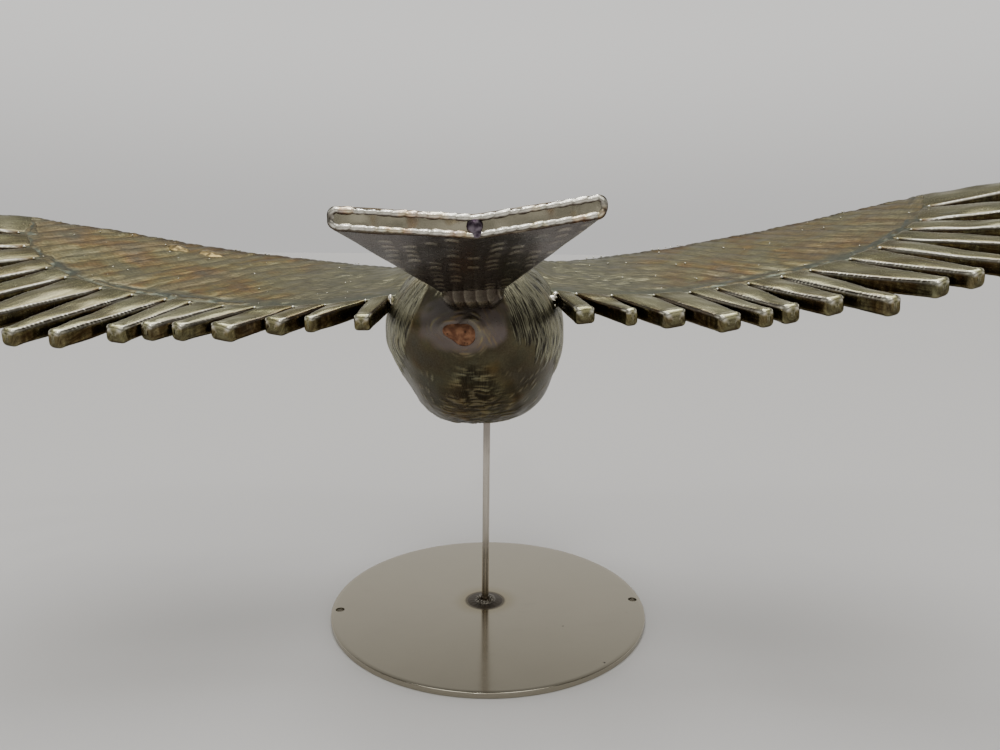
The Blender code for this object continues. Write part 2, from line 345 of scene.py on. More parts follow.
def ringFaces(rows, count, looped, axis=None):
    # quads between neighbouring points, wrapped round each ring; the last ring joins the first,
    # or a fan of triangles closes each end, or quads straight across it where the ring is its own
    # mirror image and axis is the sum of the numbers of two opposite points.
    # Gives the point, row and column of every face corner, and how many corners each face has.
    last = rows if looped else rows - 1
    i, j = np.meshgrid(np.arange(last), np.arange(count), indexing="ij")
    row = stacked(i, i, i + 1, i + 1).reshape(-1)
    column = stacked(j, j + 1, j + 1, j).reshape(-1)
    point = (row % rows) * count + column % count
    sizes = np.full(last * count, 4)
    if looped:
        return point, row, column, sizes
    if axis is not None:
        step = np.arange(count // 2)
        a, b = ((axis + 1) // 2 + step) % count, ((axis - 1) // 2 - step) % count
        start = stacked(a[1:], a[:-1], b[:-1], b[1:]).reshape(-1)
        end = stacked(b[1:], b[:-1], a[:-1], a[1:]).reshape(-1)
        return (np.concatenate([point, start, (rows - 1) * count + end]),
                np.concatenate([row, np.repeat([0, rows - 1], len(start))]),
                np.concatenate([column, start, end]),
                np.concatenate([sizes, np.full(len(start) // 2, 4)]))
    ring, base = np.arange(count), (rows - 1) * count
    following = (ring + 1) % count
    start = stacked(rows * count, following, ring)
    end = stacked(rows * count + 1, base + ring, base + following)
    columns = np.concatenate([stacked(ring, ring + 1, ring), stacked(ring, ring, ring + 1)])
    return (np.concatenate([point, start.reshape(-1), end.reshape(-1)]),
            np.concatenate([row, np.repeat([0, rows - 1], 3 * count)]),
            np.concatenate([column, columns.reshape(-1)]),
            np.concatenate([sizes, np.full(2 * count, 3)]))


def skin(name, grid, tone, looped=False, flow=None, axis=None):
    # the map "flow" holds the distances round and along in metres unless it is given, and the
    # attribute "tone" holds relief, tint, polish and how hairy the steel is
    rows, count = grid.shape[:2]
    point, row, column, sizes = ringFaces(rows, count, looped, axis)
    if flow is None:
        around, along = reachAround(grid), reachAlong(grid)
        if looped:
            closing = np.linalg.norm(grid[0] - grid[-1], axis=1).mean()
            around = np.concatenate([around, around[:1]])
            along = np.append(along, along[-1] + closing)
        flow = stacked(around, along[:, None])
    else:
        flow = np.concatenate([flow, flow[:, :1]], axis=1)
    points, tone = grid.reshape(-1, 3), np.broadcast_to(tone, (rows, count, 4))
    shades = tone.reshape(-1, 4)
    if not looped and axis is None:
        points = np.concatenate([points, grid[[0, -1]].mean(axis=1)])
        shades = np.concatenate([shades, tone[[0, -1]].mean(axis=1)])
    return fill(name, points, point, sizes, flow[row, column], shades)


def fill(name, points, corners, sizes, flow, shades):
    starts = np.concatenate([[0], np.cumsum(sizes)[:-1]])
    a, b, c = (points[corners[starts + step]] - points.mean(axis=0) for step in range(3))
    if np.sum(a * np.cross(b, c)) < 0:
        # the volume is negative, so every face is walked the other way round
        turn = np.repeat(2 * starts + sizes - 1, sizes) - np.arange(len(corners))
        corners, flow = corners[turn], flow[turn]
    mesh = bpy.data.meshes.new(name)
    mesh.vertices.add(len(points))
    mesh.vertices.foreach_set("co", points.astype(np.float32).reshape(-1))
    mesh.loops.add(len(corners))
    mesh.loops.foreach_set("vertex_index", corners.astype(np.int32))
    mesh.polygons.add(len(starts))
    mesh.polygons.foreach_set("loop_start", starts.astype(np.int32))
    mesh.update(calc_edges=True)
    mesh.uv_layers.new(name="flow").data.foreach_set("uv", flow.astype(np.float32).reshape(-1))
    tone = mesh.attributes.new("tone", "FLOAT_COLOR", "POINT")
    tone.data.foreach_set("color", shades.astype(np.float32).reshape(-1))
    mesh.validate()
    mesh.shade_smooth()
    return linked(name, mesh)


def drops(name, places, radii, squash, tone, rows, count):
    # many small balls in one mesh: a turned half circle, squashed, at each place. A ball's map is
    # its points' numbers at flowStep metres each.
    flowStep = 0.0003
    turn = circle(count)
    rise = np.linspace(0.0, pi, rows + 2)[1:-1, None]
    ball = stacked(np.sin(rise) * np.cos(turn), np.sin(rise) * np.sin(turn), np.cos(rise))
    ball = np.concatenate([ball.reshape(-1, 3), [[0.0, 0.0, 1.0], [0.0, 0.0, -1.0]]])
    places, radii = np.array(places), np.array(radii)
    points = places[:, None] + radii[:, None, None] * ball * np.array(squash)
    point, row, column, sizes = ringFaces(rows, count, False)
    corners = (point + (len(ball) * np.arange(len(places)))[:, None]).reshape(-1)
    flow = np.tile(stacked(row, column) * flowStep, (len(places), 1))
    shades = np.broadcast_to(tone, (len(places) * len(ball), 4))
    return fill(name, toWorld(points.reshape(-1, 3)), corners, np.tile(sizes, len(places)), flow, shades)


def keep(piece, material, slot, *nodes):
    piece.data.materials.append(material)
    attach(piece, "root")
    if nodes:
        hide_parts(*nodes)


def tones(relief, tint, polish, hairy=1.0):
    return np.clip(stacked(relief, tint, polish, hairy), 0, 1)


plainTone = (0.0, 0.0, 0.0, 1.0)


def moundShares(rows):
    # how far out from a mound's middle each ring lies, over its top and back underneath, as shares
    # of its reach, and which rings are on top
    share = np.concatenate([np.linspace(0.03, 1, rows), np.linspace(0.96, 0.03, 5)])[:, None]
    return share, (np.arange(len(share)) < rows)[:, None]


def boxOutline(topSteps, underSteps, tallSteps, cornerSteps):
    # the path round a box with rounded corners: for each point its corner's centre (-1 or 1 across
    # and up, and between them along the sides) and the direction that it faces. The four counts
    # are the "steps" in a piece's settings.
    middles = ((1, -1), (1, 1), (-1, 1), (-1, -1), (1, -1))
    parts = []
    for number, steps in enumerate((tallSteps, topSteps, tallSteps, underSteps)):
        here, there = np.array(middles[number], float), np.array(middles[number + 1], float)
        turn = radians(90) * (number - 1 + np.linspace(0, 1, cornerSteps + 1))
        corner = stacked(here[0], here[1], np.cos(turn), np.sin(turn))
        t = np.linspace(0, 1, steps + 1)[1:-1, None]
        side = np.concatenate([here + (there - here) * t, np.repeat(corner[-1:, 2:], len(t), 0)], 1)
        parts += [corner, side]
    return np.concatenate(parts)


def boxAxis(steps):
    # the first upright side runs from point 0 to this one, so opposite points add up to it;
    # tallSteps is odd, so that no point lies on the line between the halves
    _, _, tallSteps, cornerSteps = steps
    return 2 * cornerSteps + tallSteps


def boxSection(outline, halfWide, halfTall, radius):
    # the corner's centre, pulled in by the radius, plus the radius along the facing direction
    across = outline[:, 0] * (halfWide - radius) + outline[:, 2] * radius
    up = outline[:, 1] * (halfTall - radius) + outline[:, 3] * radius
    return across, up


# Steel

heatTints = ((0.0, (0.80, 0.90, 1.0)), (0.32, (0.95, 0.97, 0.88)), (0.46, (1.0, 0.86, 0.56)),
             (0.58, (0.98, 0.66, 0.38)), (0.70, (0.85, 0.60, 0.50)), (0.84, (0.66, 0.60, 0.72)),
             (1.0, (0.55, 0.72, 0.92)))


def weldedSteel(name, look):
    # Weld metal: dark in the valleys and bright on the crests (tone red, and fine hairs drawn along the runs
    # as far as tone alpha says); where tone red follows the weld's relief this is painted shade in the
    # valleys and painted light on the crests. Straw, brown and violet heat tints (tone green), and the
    # polished colour where tone blue is high. Where a look has a dot pitch, the polish is parted into dots
    # along the runs as tone alpha falls, with the line between them darkened: painted glints.
    material, start, shader, place = blankMaterial(name)
    flow = start.add("ShaderNodeUVMap", {"uv_map": "flow"})
    tone = start.add("ShaderNodeAttribute", {"attribute_name": "tone"})
    relief = start.add("ShaderNodeSeparateColor", None, {0: tone})
    tint, polish = relief.other(1), relief.other(2)
    bend = noise(start, place, look["bendScale"], 1.0).other(1)
    bent = start.add("ShaderNodeVectorMath", {"operation": "MULTIPLY_ADD"},
                     {0: bend, 1: look["bend"], 2: stretch(start, flow, look["hair"])})
    cells = start.add("ShaderNodeTexVoronoi", {"feature": "F1", "voronoi_dimensions": "2D"},
                      {"Vector": bent, "Scale": 1.0})
    lines = noise(start, bent, 1.0, 2.0, 0.6).rise(0.38, 0.60)
    hair = (1 - cells.rise(0.1, 0.85)) * (1 - look["lined"]) + lines * look["lined"]
    grain = noise(start, place, look["grainScale"], 3.0, 0.6)
    cloudy = noise(start, place, look["cloudScale"], 3.0, 0.55)
    hairs = (hair - 0.5) * look["hairShare"] * tone.other(3)
    raised = hairs + grain * look["grainShare"]
    if "dotPitch" in look:
        run = start.add("ShaderNodeSeparateXYZ", None, {0: flow}, 1)
        wave = run * (pi / look["dotPitch"]) + (cloudy - 0.5) * 7.0
        cluster = noise(start, place, look["dotCluster"], 1.0).rise(0.36, 0.60)
        # painted glints: the polish kept only in dots along the runs, and the colour between them darkened
        gap = (1 - tone.other(3)) * (1 - wave.sine().absolute().rise(0.60, 0.95) * cluster)
        relief, polish, raised = relief * (1 - gap * 0.75), polish * (1 - gap), raised - gap * 0.3
    height = (relief + hairs + (grain - 0.5) * look["grainShare"]).rise(look["low"], look["high"])
    # painted shade and light: valley colour where tone red and the hairs are low, crest colour where they are
    # high
    steel = height.mixColour(look["valley"], look["crest"])
    hue = ((cloudy - 0.5) * 1.7 + 0.5 + (grain - 0.5) * 0.35).ramp(*heatTints)
    amount = (tint * look["tintAmount"]).rise(0.0, 1.0)
    tinted = amount.mixColour(steel, hue, "MULTIPLY")
    bright = (polish * look["polishAmount"]).mixColour(tinted, look["polished"])
    rough = look["rough"] + (0.5 - grain) * look["roughSpread"] - polish * look["polishRough"]
    plug(start, shader, Base_Color=bright, Metallic=1.0, Roughness=rough.atLeast(0.07),
         Normal=bumped(start, look["bump"], look["bumpDepth"], raised * (1 - polish * 0.6)))
    return material


def mottledWeld(name, look):
    # a small lump of weld: cloudy between two colours, with dark specks where the look has a scale
    # for them
    material, start, shader, place = blankMaterial(name)
    cloudy = noise(start, place, look["cloudScale"])
    tone = cloudy.rise(*look["cloudSpread"]).mixColour(look["dark"], look["light"])
    if "speckScale" in look:
        speck = specks(start, place, look["speckScale"], 0.10, 0.20)
        tone = (speck * 0.7).mixColour(tone, look["speck"])
    plug(start, shader, Base_Color=tone, Metallic=1.0, Roughness=look["rough"],
         Normal=bumped(start, look["bump"], look["bumpDepth"], cloudy))
    return material


# Body: an egg-shaped skin round a spine, covered in hair-like weld strokes

body = {
    # along, height, pitch of the spine in degrees, half width, reach above and below the spine
    "sections": (
        (-0.0620, 0.0210, 0, 0.0060, 0.0050, 0.0050), (-0.0590, 0.0205, 0, 0.0150, 0.0125, 0.0120),
        (-0.0510, 0.0180, 0, 0.0265, 0.0215, 0.0220), (-0.0380, 0.0145, 0, 0.0380, 0.0320, 0.0345),
        (-0.0200, 0.0130, 0, 0.0455, 0.0390, 0.0465), (0.0000, 0.0130, 0, 0.0475, 0.0410, 0.0506),
        (0.0220, 0.0140, 0, 0.0471, 0.0410, 0.0503), (0.0430, 0.0180, 6, 0.0430, 0.0380, 0.0470),
        (0.0610, 0.0240, 16, 0.0355, 0.0330, 0.0390), (0.0760, 0.0320, 30, 0.0275, 0.0255, 0.0295),
        (0.0880, 0.0420, 40, 0.0205, 0.0190, 0.0215), (0.0970, 0.0510, 40, 0.0163, 0.0155, 0.0165),
        (0.1060, 0.0580, 26, 0.0158, 0.0155, 0.0155), (0.1160, 0.0610, 6, 0.0155, 0.0148, 0.0138),
        (0.1250, 0.0605, -8, 0.0118, 0.0108, 0.0098), (0.1300, 0.0590, -14, 0.0062, 0.0062, 0.0056),
        (0.1390, 0.0565, -16, 0.0040, 0.0038, 0.0033), (0.1480, 0.0535, -20, 0.0015, 0.0014, 0.0012)),
    "squareAbove": 2.15, "squareBelow": 2.80, "narrowing": (0.20, 0.09), "narrowingDepth": 0.7,
    "rumpDome": 0.0008, "beakDome": 0.0008, "rumpShare": 0.98, "beakShare": 0.95,
    "trialRings": 1500, "fineRows": 212, "plainRows": 88, "fineShare": 0.47, "around": 296,
    # on the rump the coat ends at "coatLevel" this far out on the left and right, and its edge
    # climbs towards the middle and drops outwards by these slopes
    "coatLevel": 0.015, "coatOut": (0.031, 0.020), "coatClimb": (2.4, 4.5), "coatDrop": (2.8, 0.83),
    "coatLowest": -0.006, "coatHighest": 0.040, "coatAhead": -0.004,
    "coatCentre": (-0.012, 0.012), "coatReach": (0.048, 0.050, 0.120, 0.046), "coatLean": 0.30,
    "hairWidth": 0.0018, "hairLength": 0.0115, "hairHeight": 0.00065,
    # how far the hairs wander, and how wide and long each bend is
    "wander": (0.0026, 0.012, 0.014), "smallWander": (0.0012, 0.0045, 0.008),
    "lumpSize": 0.012, "lumpHeight": 0.0009,
    "patch": (-0.0030, 0.0225), "patchReach": (0.0215, 0.0135),
    # width and length of the strokes: arcs round the scar, fibres beside it, ripples on the belly
    # and flecks beside those
    "arc": (0.0012, 0.0075), "fibre": (0.0012, 0.0085), "ripple": (0.00135, 0.0060),
    "fleck": (0.0022, 0.0065),
    "arcHeight": 0.00016, "fibreHeight": 0.00012, "rippleHeight": 0.00035, "fleckHeight": 0.0002,
    "rimHeight": 0.0003, "calmEnd": 0.004}
bodyLook = {
    "valley": (0.026, 0.022, 0.016), "crest": (0.29, 0.28, 0.188), "polished": (0.15, 0.13, 0.135),
    "lined": 1.0, "polishAmount": 0.85, "rough": 0.34, "roughSpread": 0.14, "polishRough": 0.06,
    "hair": (1600.0, 95.0, 1.0), "bendScale": 130.0, "bend": (1.2, 0.8, 0.0), "hairShare": 0.65,
    "grainScale": 1100.0, "grainShare": 0.20, "cloudScale": 45.0, "low": 0.10, "high": 0.90,
    "tintAmount": 0.8, "bump": 0.6, "bumpDepth": 0.0005}
scar = {"centre": (-0.0033, 0.0182), "reach": 0.0057, "tongue": 0.0052, "tongueWay": radians(166),
        "tongueSpread": radians(27), "rows": 18, "around": 72, "dome": 0.0006, "sink": 0.0002,
        "under": 0.0009, "pole": (-0.0628, 0.0205), "bulge": (0.0038, 0.0150, 0.0125)}
scarLook = {
    "dark": (0.120, 0.056, 0.034), "light": (0.27, 0.135, 0.075), "cloudScale": 330.0,
    "cloudSpread": (0.35, 0.68), "speck": (0.03, 0.02, 0.015), "speckScale": 260.0,
    "rough": 0.33, "bump": 0.3, "bumpDepth": 0.0002}


def scarReach(lean):
    # a circle with a tongue: a bell curve of the angle, added towards the upper left
    off = np.mod(lean - scar["tongueWay"] + pi, 2 * pi) - pi
    return scar["reach"] + scar["tongue"] * np.exp(-(off / scar["tongueSpread"]) ** 2)


def catmullRom(table, t):
    # smooth curve through the rows of the table, at the places t counted in rows
    table = np.array(table, float)
    i = np.clip(np.floor(t).astype(int), 0, len(table) - 2)
    f = (t - i)[:, None]
    a, b = table[np.maximum(i - 1, 0)], table[i]
    c, d = table[i + 1], table[np.minimum(i + 2, len(table) - 1)]
    return 0.5 * (2 * b + (c - a) * f + (2 * a - 5 * b + 4 * c - d) * f ** 2
                  + (3 * b - a - 3 * c + d) * f ** 3)


def bodyRings(t, turn):
    # a superellipse square to the spine at each place t, its flanks drawn in below; past either
    # end the last section shrinks by a cosine and moves out by a sine, as a shallow dome
    final = len(body["sections"]) - 1
    along, height, pitch, halfWidth, above, below = catmullRom(body["sections"], np.clip(t, 0, final)).T
    past = pi / 2 * (np.clip(-t, 0, 1) + np.clip(t - final, 0, 1))
    shift = np.sin(past) * np.where(t < 0, -body["rumpDome"], body["beakDome"])
    shrink = np.cos(past)[:, None]
    upper = np.sin(turn) > 0
    power = np.where(upper, body["squareAbove"], body["squareBelow"])
    size = (np.abs(np.cos(turn)) ** power + np.abs(np.sin(turn)) ** power) ** (-1 / power)
    rise = size * np.sin(turn)
    narrowing = np.where(np.cos(turn) < 0, body["narrowing"][0], body["narrowing"][1])
    side = size * np.cos(turn) * (1 - narrowing * smoothStep(0, body["narrowingDepth"], -rise))
    up = shrink * rise * np.where(upper, above[:, None], below[:, None])
    tilt = np.radians(pitch)[:, None]
    return stacked(shrink * side * halfWidth[:, None],
                   (along + shift)[:, None] - up * np.sin(tilt),
                   height[:, None] + up * np.cos(tilt))


def makeBody():
    # rings evenly far apart, closer over the part that the camera sees, found on a trial of many
    # rings; then the coat, the patch round the scar and the ripples under the belly
    final = len(body["sections"]) - 1
    turn = circle(body["around"]) - pi / 2
    trial = np.linspace(-body["rumpShare"], final + body["beakShare"], body["trialRings"])
    reach = reachAlong(bodyRings(trial, turn[::6]))
    share = np.concatenate([np.linspace(0, body["fineShare"], body["fineRows"], endpoint=False),
                            np.linspace(body["fineShare"], 1, body["plainRows"])])
    grid = bodyRings(np.interp(share * reach[-1], reach, trial), turn)
    along = reachAlong(grid)[:, None] * np.ones(body["around"])
    x, y, z = grid[..., 0], grid[..., 1], grid[..., 2]
    across, down = coatLines(x, y, z)
    wander = 0.0
    for seed, word in ((3, "wander"), (4, "smallWander")):
        far, wide, long = body[word]
        wander = wander + far * softNoise(seed, across / wide, down / long)
    hair = np.maximum(strands(11, across + wander, down, body["hairWidth"], body["hairLength"]),
                      0.85 * strands(17, across + 0.10 * down + wander, down,
                                     1.2 * body["hairWidth"], 1.3 * body["hairLength"]))
    lumps = softNoise(31, across / body["lumpSize"], down / body["lumpSize"])
    ragged = softNoise(37, (x + 0.3 * z) / 0.005, (y + z) / 0.005) - 0.5
    fringe = softNoise(38, (across + wander) / 0.0013, down / 0.03) - 0.5
    behind = smoothStep(-0.036, -0.044, y)
    # the dark patch on the rump, the rim of its scar, arcs round it and fibres beside it
    patchAway = np.hypot((x - body["patch"][0]) / body["patchReach"][0],
                         (z - body["patch"][1]) / body["patchReach"][1]) + 0.30 * ragged
    patch = (1 - smoothStep(0.85, 1.1, patchAway)) * behind
    lean = np.arctan2(z - scar["centre"][1], x - scar["centre"][0])
    ringAway = np.hypot(x - scar["centre"][0], z - scar["centre"][1]) - scarReach(lean)
    crescent = 0.5 + 0.5 * np.cos(lean - 0.4)
    rim = (0.3 + 0.7 * crescent) * np.exp(-((ringAway - 0.0010 - 0.0012 * crescent)
                                            / (0.0007 + 0.0012 * crescent)) ** 2) * behind
    arcs = smoothStep(0.45, 0.95, strands(51, ringAway, 0.012 * lean, *body["arc"]))
    arcs = arcs * (1 - smoothStep(0.004, 0.009, ringAway)) * (ringAway > 0.0015) * behind
    fibres = smoothStep(0.4, 0.9, strands(53, x + 0.45 * z, z, *body["fibre"]))
    fibres = fibres * smoothStep(0.003, 0.008, x) * patch
    furry = smoothStep(-0.0030, 0.0030, z - coatEdge(x, y) + 0.012 * fringe) * (1 - patch)
    belly = (np.exp(-(x / (0.0085 + 0.011 * smoothStep(0.002, -0.028, z))) ** 4)
             * smoothStep(0.006, -0.003, z) * smoothStep(0.05, 0.03, y) * (1 - patch))
    ripple = smoothStep(0.30, 0.85, strands(41, along + 0.6 * wander, x + 2 * wander, *body["ripple"]))
    flecks = smoothStep(0.72, 0.95, strands(61, across + 0.5 * down + wander, down, *body["fleck"]))
    flecks = flecks * smoothStep(0.002, -0.006, z) * smoothStep(0.010, 0.018, np.abs(x))
    combed = smoothStep(0.10, 0.75, hair)
    bare = np.clip(1 - furry - patch, 0, 1)
    height = (body["hairHeight"] * hair * furry + body["rippleHeight"] * ripple * belly
              + body["fleckHeight"] * flecks * bare
              + body["arcHeight"] * arcs * (1 - furry) + body["fibreHeight"] * fibres
              + body["lumpHeight"] * (lumps - 0.5) * (1 - 0.7 * patch) + body["rimHeight"] * rim)
    calm = smoothStep(0.0, body["calmEnd"], along) * smoothStep(0.0, body["calmEnd"], along.max() - along)
    grid = lift(grid, height * calm)
    # painted shade: the fur low on the right of the rump made darker, as if lit from the left
    paintedShade = 1 - 0.55 * smoothStep(0.0, 0.02, x) * smoothStep(0.045, 0.020, z) * behind
    # painted shade under the body: the belly darker between its ripples, with painted light on the ripples'
    # crests
    relief = (furry * (0.18 + 0.62 * combed) * paintedShade
              + bare * (0.27 + 0.12 * lumps - 0.14 * belly + 0.40 * belly * ripple + 0.24 * flecks)
              + patch * (0.38 + 0.22 * fibres + 0.24 * rim) + 0.28 * arcs * (1 - furry))
    tint = patch + 0.5 * bare + 0.35 * smoothStep(0.6, 0.9, lumps)
    polish = 0.75 * patch * (1 - 0.6 * arcs) * (1 - 0.4 * fibres)
    # ahead the two sides of the map meet at x = 0, so no fine hairs are drawn there
    seam = 1 - smoothStep(0.001, 0.004, np.abs(x)) * smoothStep(-0.01, 0.01, y)
    shades = tones(relief, tint, polish, furry * np.where(y > 0, seam < 0.5, 1) + 0.20 * belly)
    flow = stacked(across + 1.0, down + 1.0)
    keep(skin("dove_body", toWorld(grid), shades, flow=flow), weldedSteel("body steel", bodyLook),
         "body_steel", "body")


def coatEdge(x, y):
    # the height where the coat ends: two straight slopes on each side of the rump, and level ahead
    start, climb, drop = (np.where(x < 0, *body[word]) for word in ("coatOut", "coatClimb", "coatDrop"))
    out = np.abs(x) - start
    rump = body["coatLevel"] + climb * np.maximum(-out, 0) - drop * np.maximum(out, 0)
    rump = np.clip(rump, body["coatLowest"], body["coatHighest"])
    return rump + (body["coatAhead"] - rump) * smoothStep(-0.005, 0.030, y)


def coatLines(x, y, z):
    # the hairs follow the meridians of an egg round the middle of the rump: across is the angle
    # about the upright axis and down the angle from its top, both as lengths. On the upper half
    # the hairs lean outwards.
    wide, behind, ahead, tall = body["coatReach"]
    u = x / wide
    v = (body["coatCentre"][0] - y) / np.where(y < body["coatCentre"][0], behind, ahead)
    w = (z - body["coatCentre"][1]) / tall
    angle = np.arctan2(u, v)
    near = np.clip(angle, -pi / 2, pi / 2)
    lean = body["coatLean"] * np.maximum(w, 0) * tall * np.clip(x / 0.010, -1, 1)
    return wide * near + ahead * (angle - near) + lean, tall * (pi / 2 - np.arctan2(w, np.hypot(u, v)))


def makeScar():
    # a brown plug of weld on the rump: a shallow dome over its outline, on the rump's own curve
    turn = circle(scar["around"])
    share, front = moundShares(scar["rows"])
    x = scar["centre"][0] + share * scarReach(turn) * np.cos(turn)
    z = scar["centre"][1] + share * scarReach(turn) * np.sin(turn)
    back, wide, tall = scar["bulge"]
    y = scar["pole"][0] + back * ((x / wide) ** 2 + ((z - scar["pole"][1]) / tall) ** 2)
    y += np.where(front, -scar["dome"] * np.sqrt(1 - share ** 2) + scar["sink"], scar["under"])
    keep(skin("rump_scar", toWorld(stacked(x, y, z)), plainTone), mottledWeld("brown weld", scarLook),
         "body_steel")


makeBody()
makeScar()
print("body welded")


# Wings: a panel, blunt bars along its seam, and the weld that joins them

wing = {
    "height": 0.038, "curve": 0.6, "straightFrom": 0.200, "innerEnd": 0.024,
    "thickness": 0.0075, "frontThickness": 0.003, "frontDroop": 0.25,
    "front": 0.032, "sweepFrom": 0.120, "sweep": 0.012, "sweepSpan": 0.130,
    "seam": -0.041, "deepestAt": 0.130, "bodyRise": 0.023, "bodySpan": 0.087,
    "wristRise": 0.041, "wristSpan": 0.113, "frontEnds": (0.206, 0.218, 0.229, 0.240, 0.250),
    "gap": 0.0003, "tipSkew": 25}
sides = {
    "left": {
        "side": -1, "seed": 40, "slope": (0.27, 0.6),
        "notches": (0.043, 0.055, 0.074, 0.089, 0.107, 0.122, 0.138, 0.150,
                    0.166, 0.182, 0.201, 0.213, 0.223, 0.233, 0.243),
        # length, sweep from straight back in degrees, width at the tip
        "feathers": (
            (0.0235, 13, 0.0076), (0.0245, 38, 0.0042), (0.0225, 39, 0.0090), (0.0300, 40, 0.0104),
            (0.0320, 43, 0.0056), (0.0318, 37, 0.0056), (0.0352, 29, 0.0078), (0.0480, 31, 0.0050),
            (0.0530, 30, 0.0056), (0.0560, 33, 0.0058), (0.0650, 34, 0.0058), (0.0770, 39, 0.0060),
            (0.0880, 49, 0.0064), (0.0980, 64, 0.0068), (0.1020, 74, 0.0070))},
    "right": {
        "side": 1, "seed": 60, "slope": (0.30, 0.0),
        "notches": (0.043, 0.053, 0.070, 0.090, 0.107, 0.120, 0.135, 0.151,
                    0.165, 0.185, 0.201, 0.212, 0.222, 0.231, 0.243),
        "feathers": (
            (0.0240, 19, 0.0092), (0.0290, 33, 0.0047), (0.0305, 32, 0.0096), (0.0395, 30, 0.0094),
            (0.0395, 31, 0.0052), (0.0375, 27, 0.0062), (0.0400, 31, 0.0070), (0.0530, 28, 0.0052),
            (0.0530, 36, 0.0062), (0.0540, 31, 0.0058), (0.0640, 32, 0.0058), (0.0760, 40, 0.0060),
            (0.0880, 50, 0.0064), (0.0980, 63, 0.0068), (0.1020, 75, 0.0070))}}
wingLook = {
    "valley": (0.060, 0.048, 0.027), "crest": (0.275, 0.250, 0.142), "polished": (0.115, 0.135, 0.106),
    "lined": 0.3, "polishAmount": 0.8, "rough": 0.39, "roughSpread": 0.14, "polishRough": 0.06,
    "hair": (700.0, 190.0, 1.0), "bendScale": 90.0, "bend": (1.6, 1.2, 0.0), "hairShare": 0.24,
    "grainScale": 1000.0, "grainShare": 0.34, "cloudScale": 45.0, "low": 0.0, "high": 1.0,
    "tintAmount": 0.68, "bump": 0.4, "bumpDepth": 0.0004}
featherLook = {
    "valley": (0.040, 0.028, 0.015), "crest": (0.45, 0.43, 0.235), "polished": (0.92, 0.90, 0.78),
    "lined": 0.7, "polishAmount": 0.85, "dotPitch": 0.0018, "dotCluster": 260.0,
    "rough": 0.26, "roughSpread": 0.10, "polishRough": 0.13,
    "hair": (700.0, 70.0, 1.0), "bendScale": 90.0, "bend": (0.6, 0.6, 0.0), "hairShare": 0.16,
    "grainScale": 1300.0, "grainShare": 0.22, "cloudScale": 60.0, "low": 0.0, "high": 1.0,
    "tintAmount": 0.8, "bump": 0.3, "bumpDepth": 0.0003}


def wingTop(out, along, slope):
    # a parabola outwards as far as the wrist, straight beyond it, and a slope that rises forwards
    inside = np.minimum(out, wing["straightFrom"])
    beyond = np.maximum(out - wing["straightFrom"], 0)
    height = wing["height"] + wing["curve"] * inside ** 2
    return height + 2 * wing["curve"] * wing["straightFrom"] * beyond + (slope[0] + slope[1] * out) * along


def seamLine(out):
    # lowest at deepestAt: a square law towards the body, a fourth power towards the wrist
    inward = np.maximum(wing["deepestAt"] - out, 0) / wing["bodySpan"]
    outward = np.maximum(out - wing["deepestAt"], 0) / wing["wristSpan"]
    return wing["seam"] + wing["bodyRise"] * inward ** 2 + wing["wristRise"] * outward ** 4


def frontLine(out):
    # straight as far as sweepFrom, then back by a square law
    return wing["front"] - wing["sweep"] * (np.maximum(out - wing["sweepFrom"], 0) / wing["sweepSpan"]) ** 2


def drift(out, along):
    # the weld runs on the wing are the level lines of this value: they slant back as they go
    # out, by about 25 degrees near the body and 45 degrees beyond it
    beyond = np.clip(out - 0.075, 0, 0.05)
    further = np.maximum(out - 0.125, 0)
    return along + 0.45 * out + 0.55 * (beyond ** 2 / 0.1 + further)


panel = {"rows": 380, "steps": (120, 36, 5, 5), "radius": 0.0013,
         "bandWidth": 0.0108, "bandHeight": 0.00024, "coinPitch": 0.0021, "coinHeight": 0.00010,
         "hairWidth": 0.0017, "hairLength": 0.0100, "hairHeight": 0.00026, "slant": 0.6,
         "seamBand": 0.0105, "waver": 0.0009, "fineWaver": 0.0004,
         "edgePitch": 0.0050, "edgeHeight": 0.00025,
         "fillet": 0.0022, "filletFrom": 0.0375, "filletReach": 0.012}


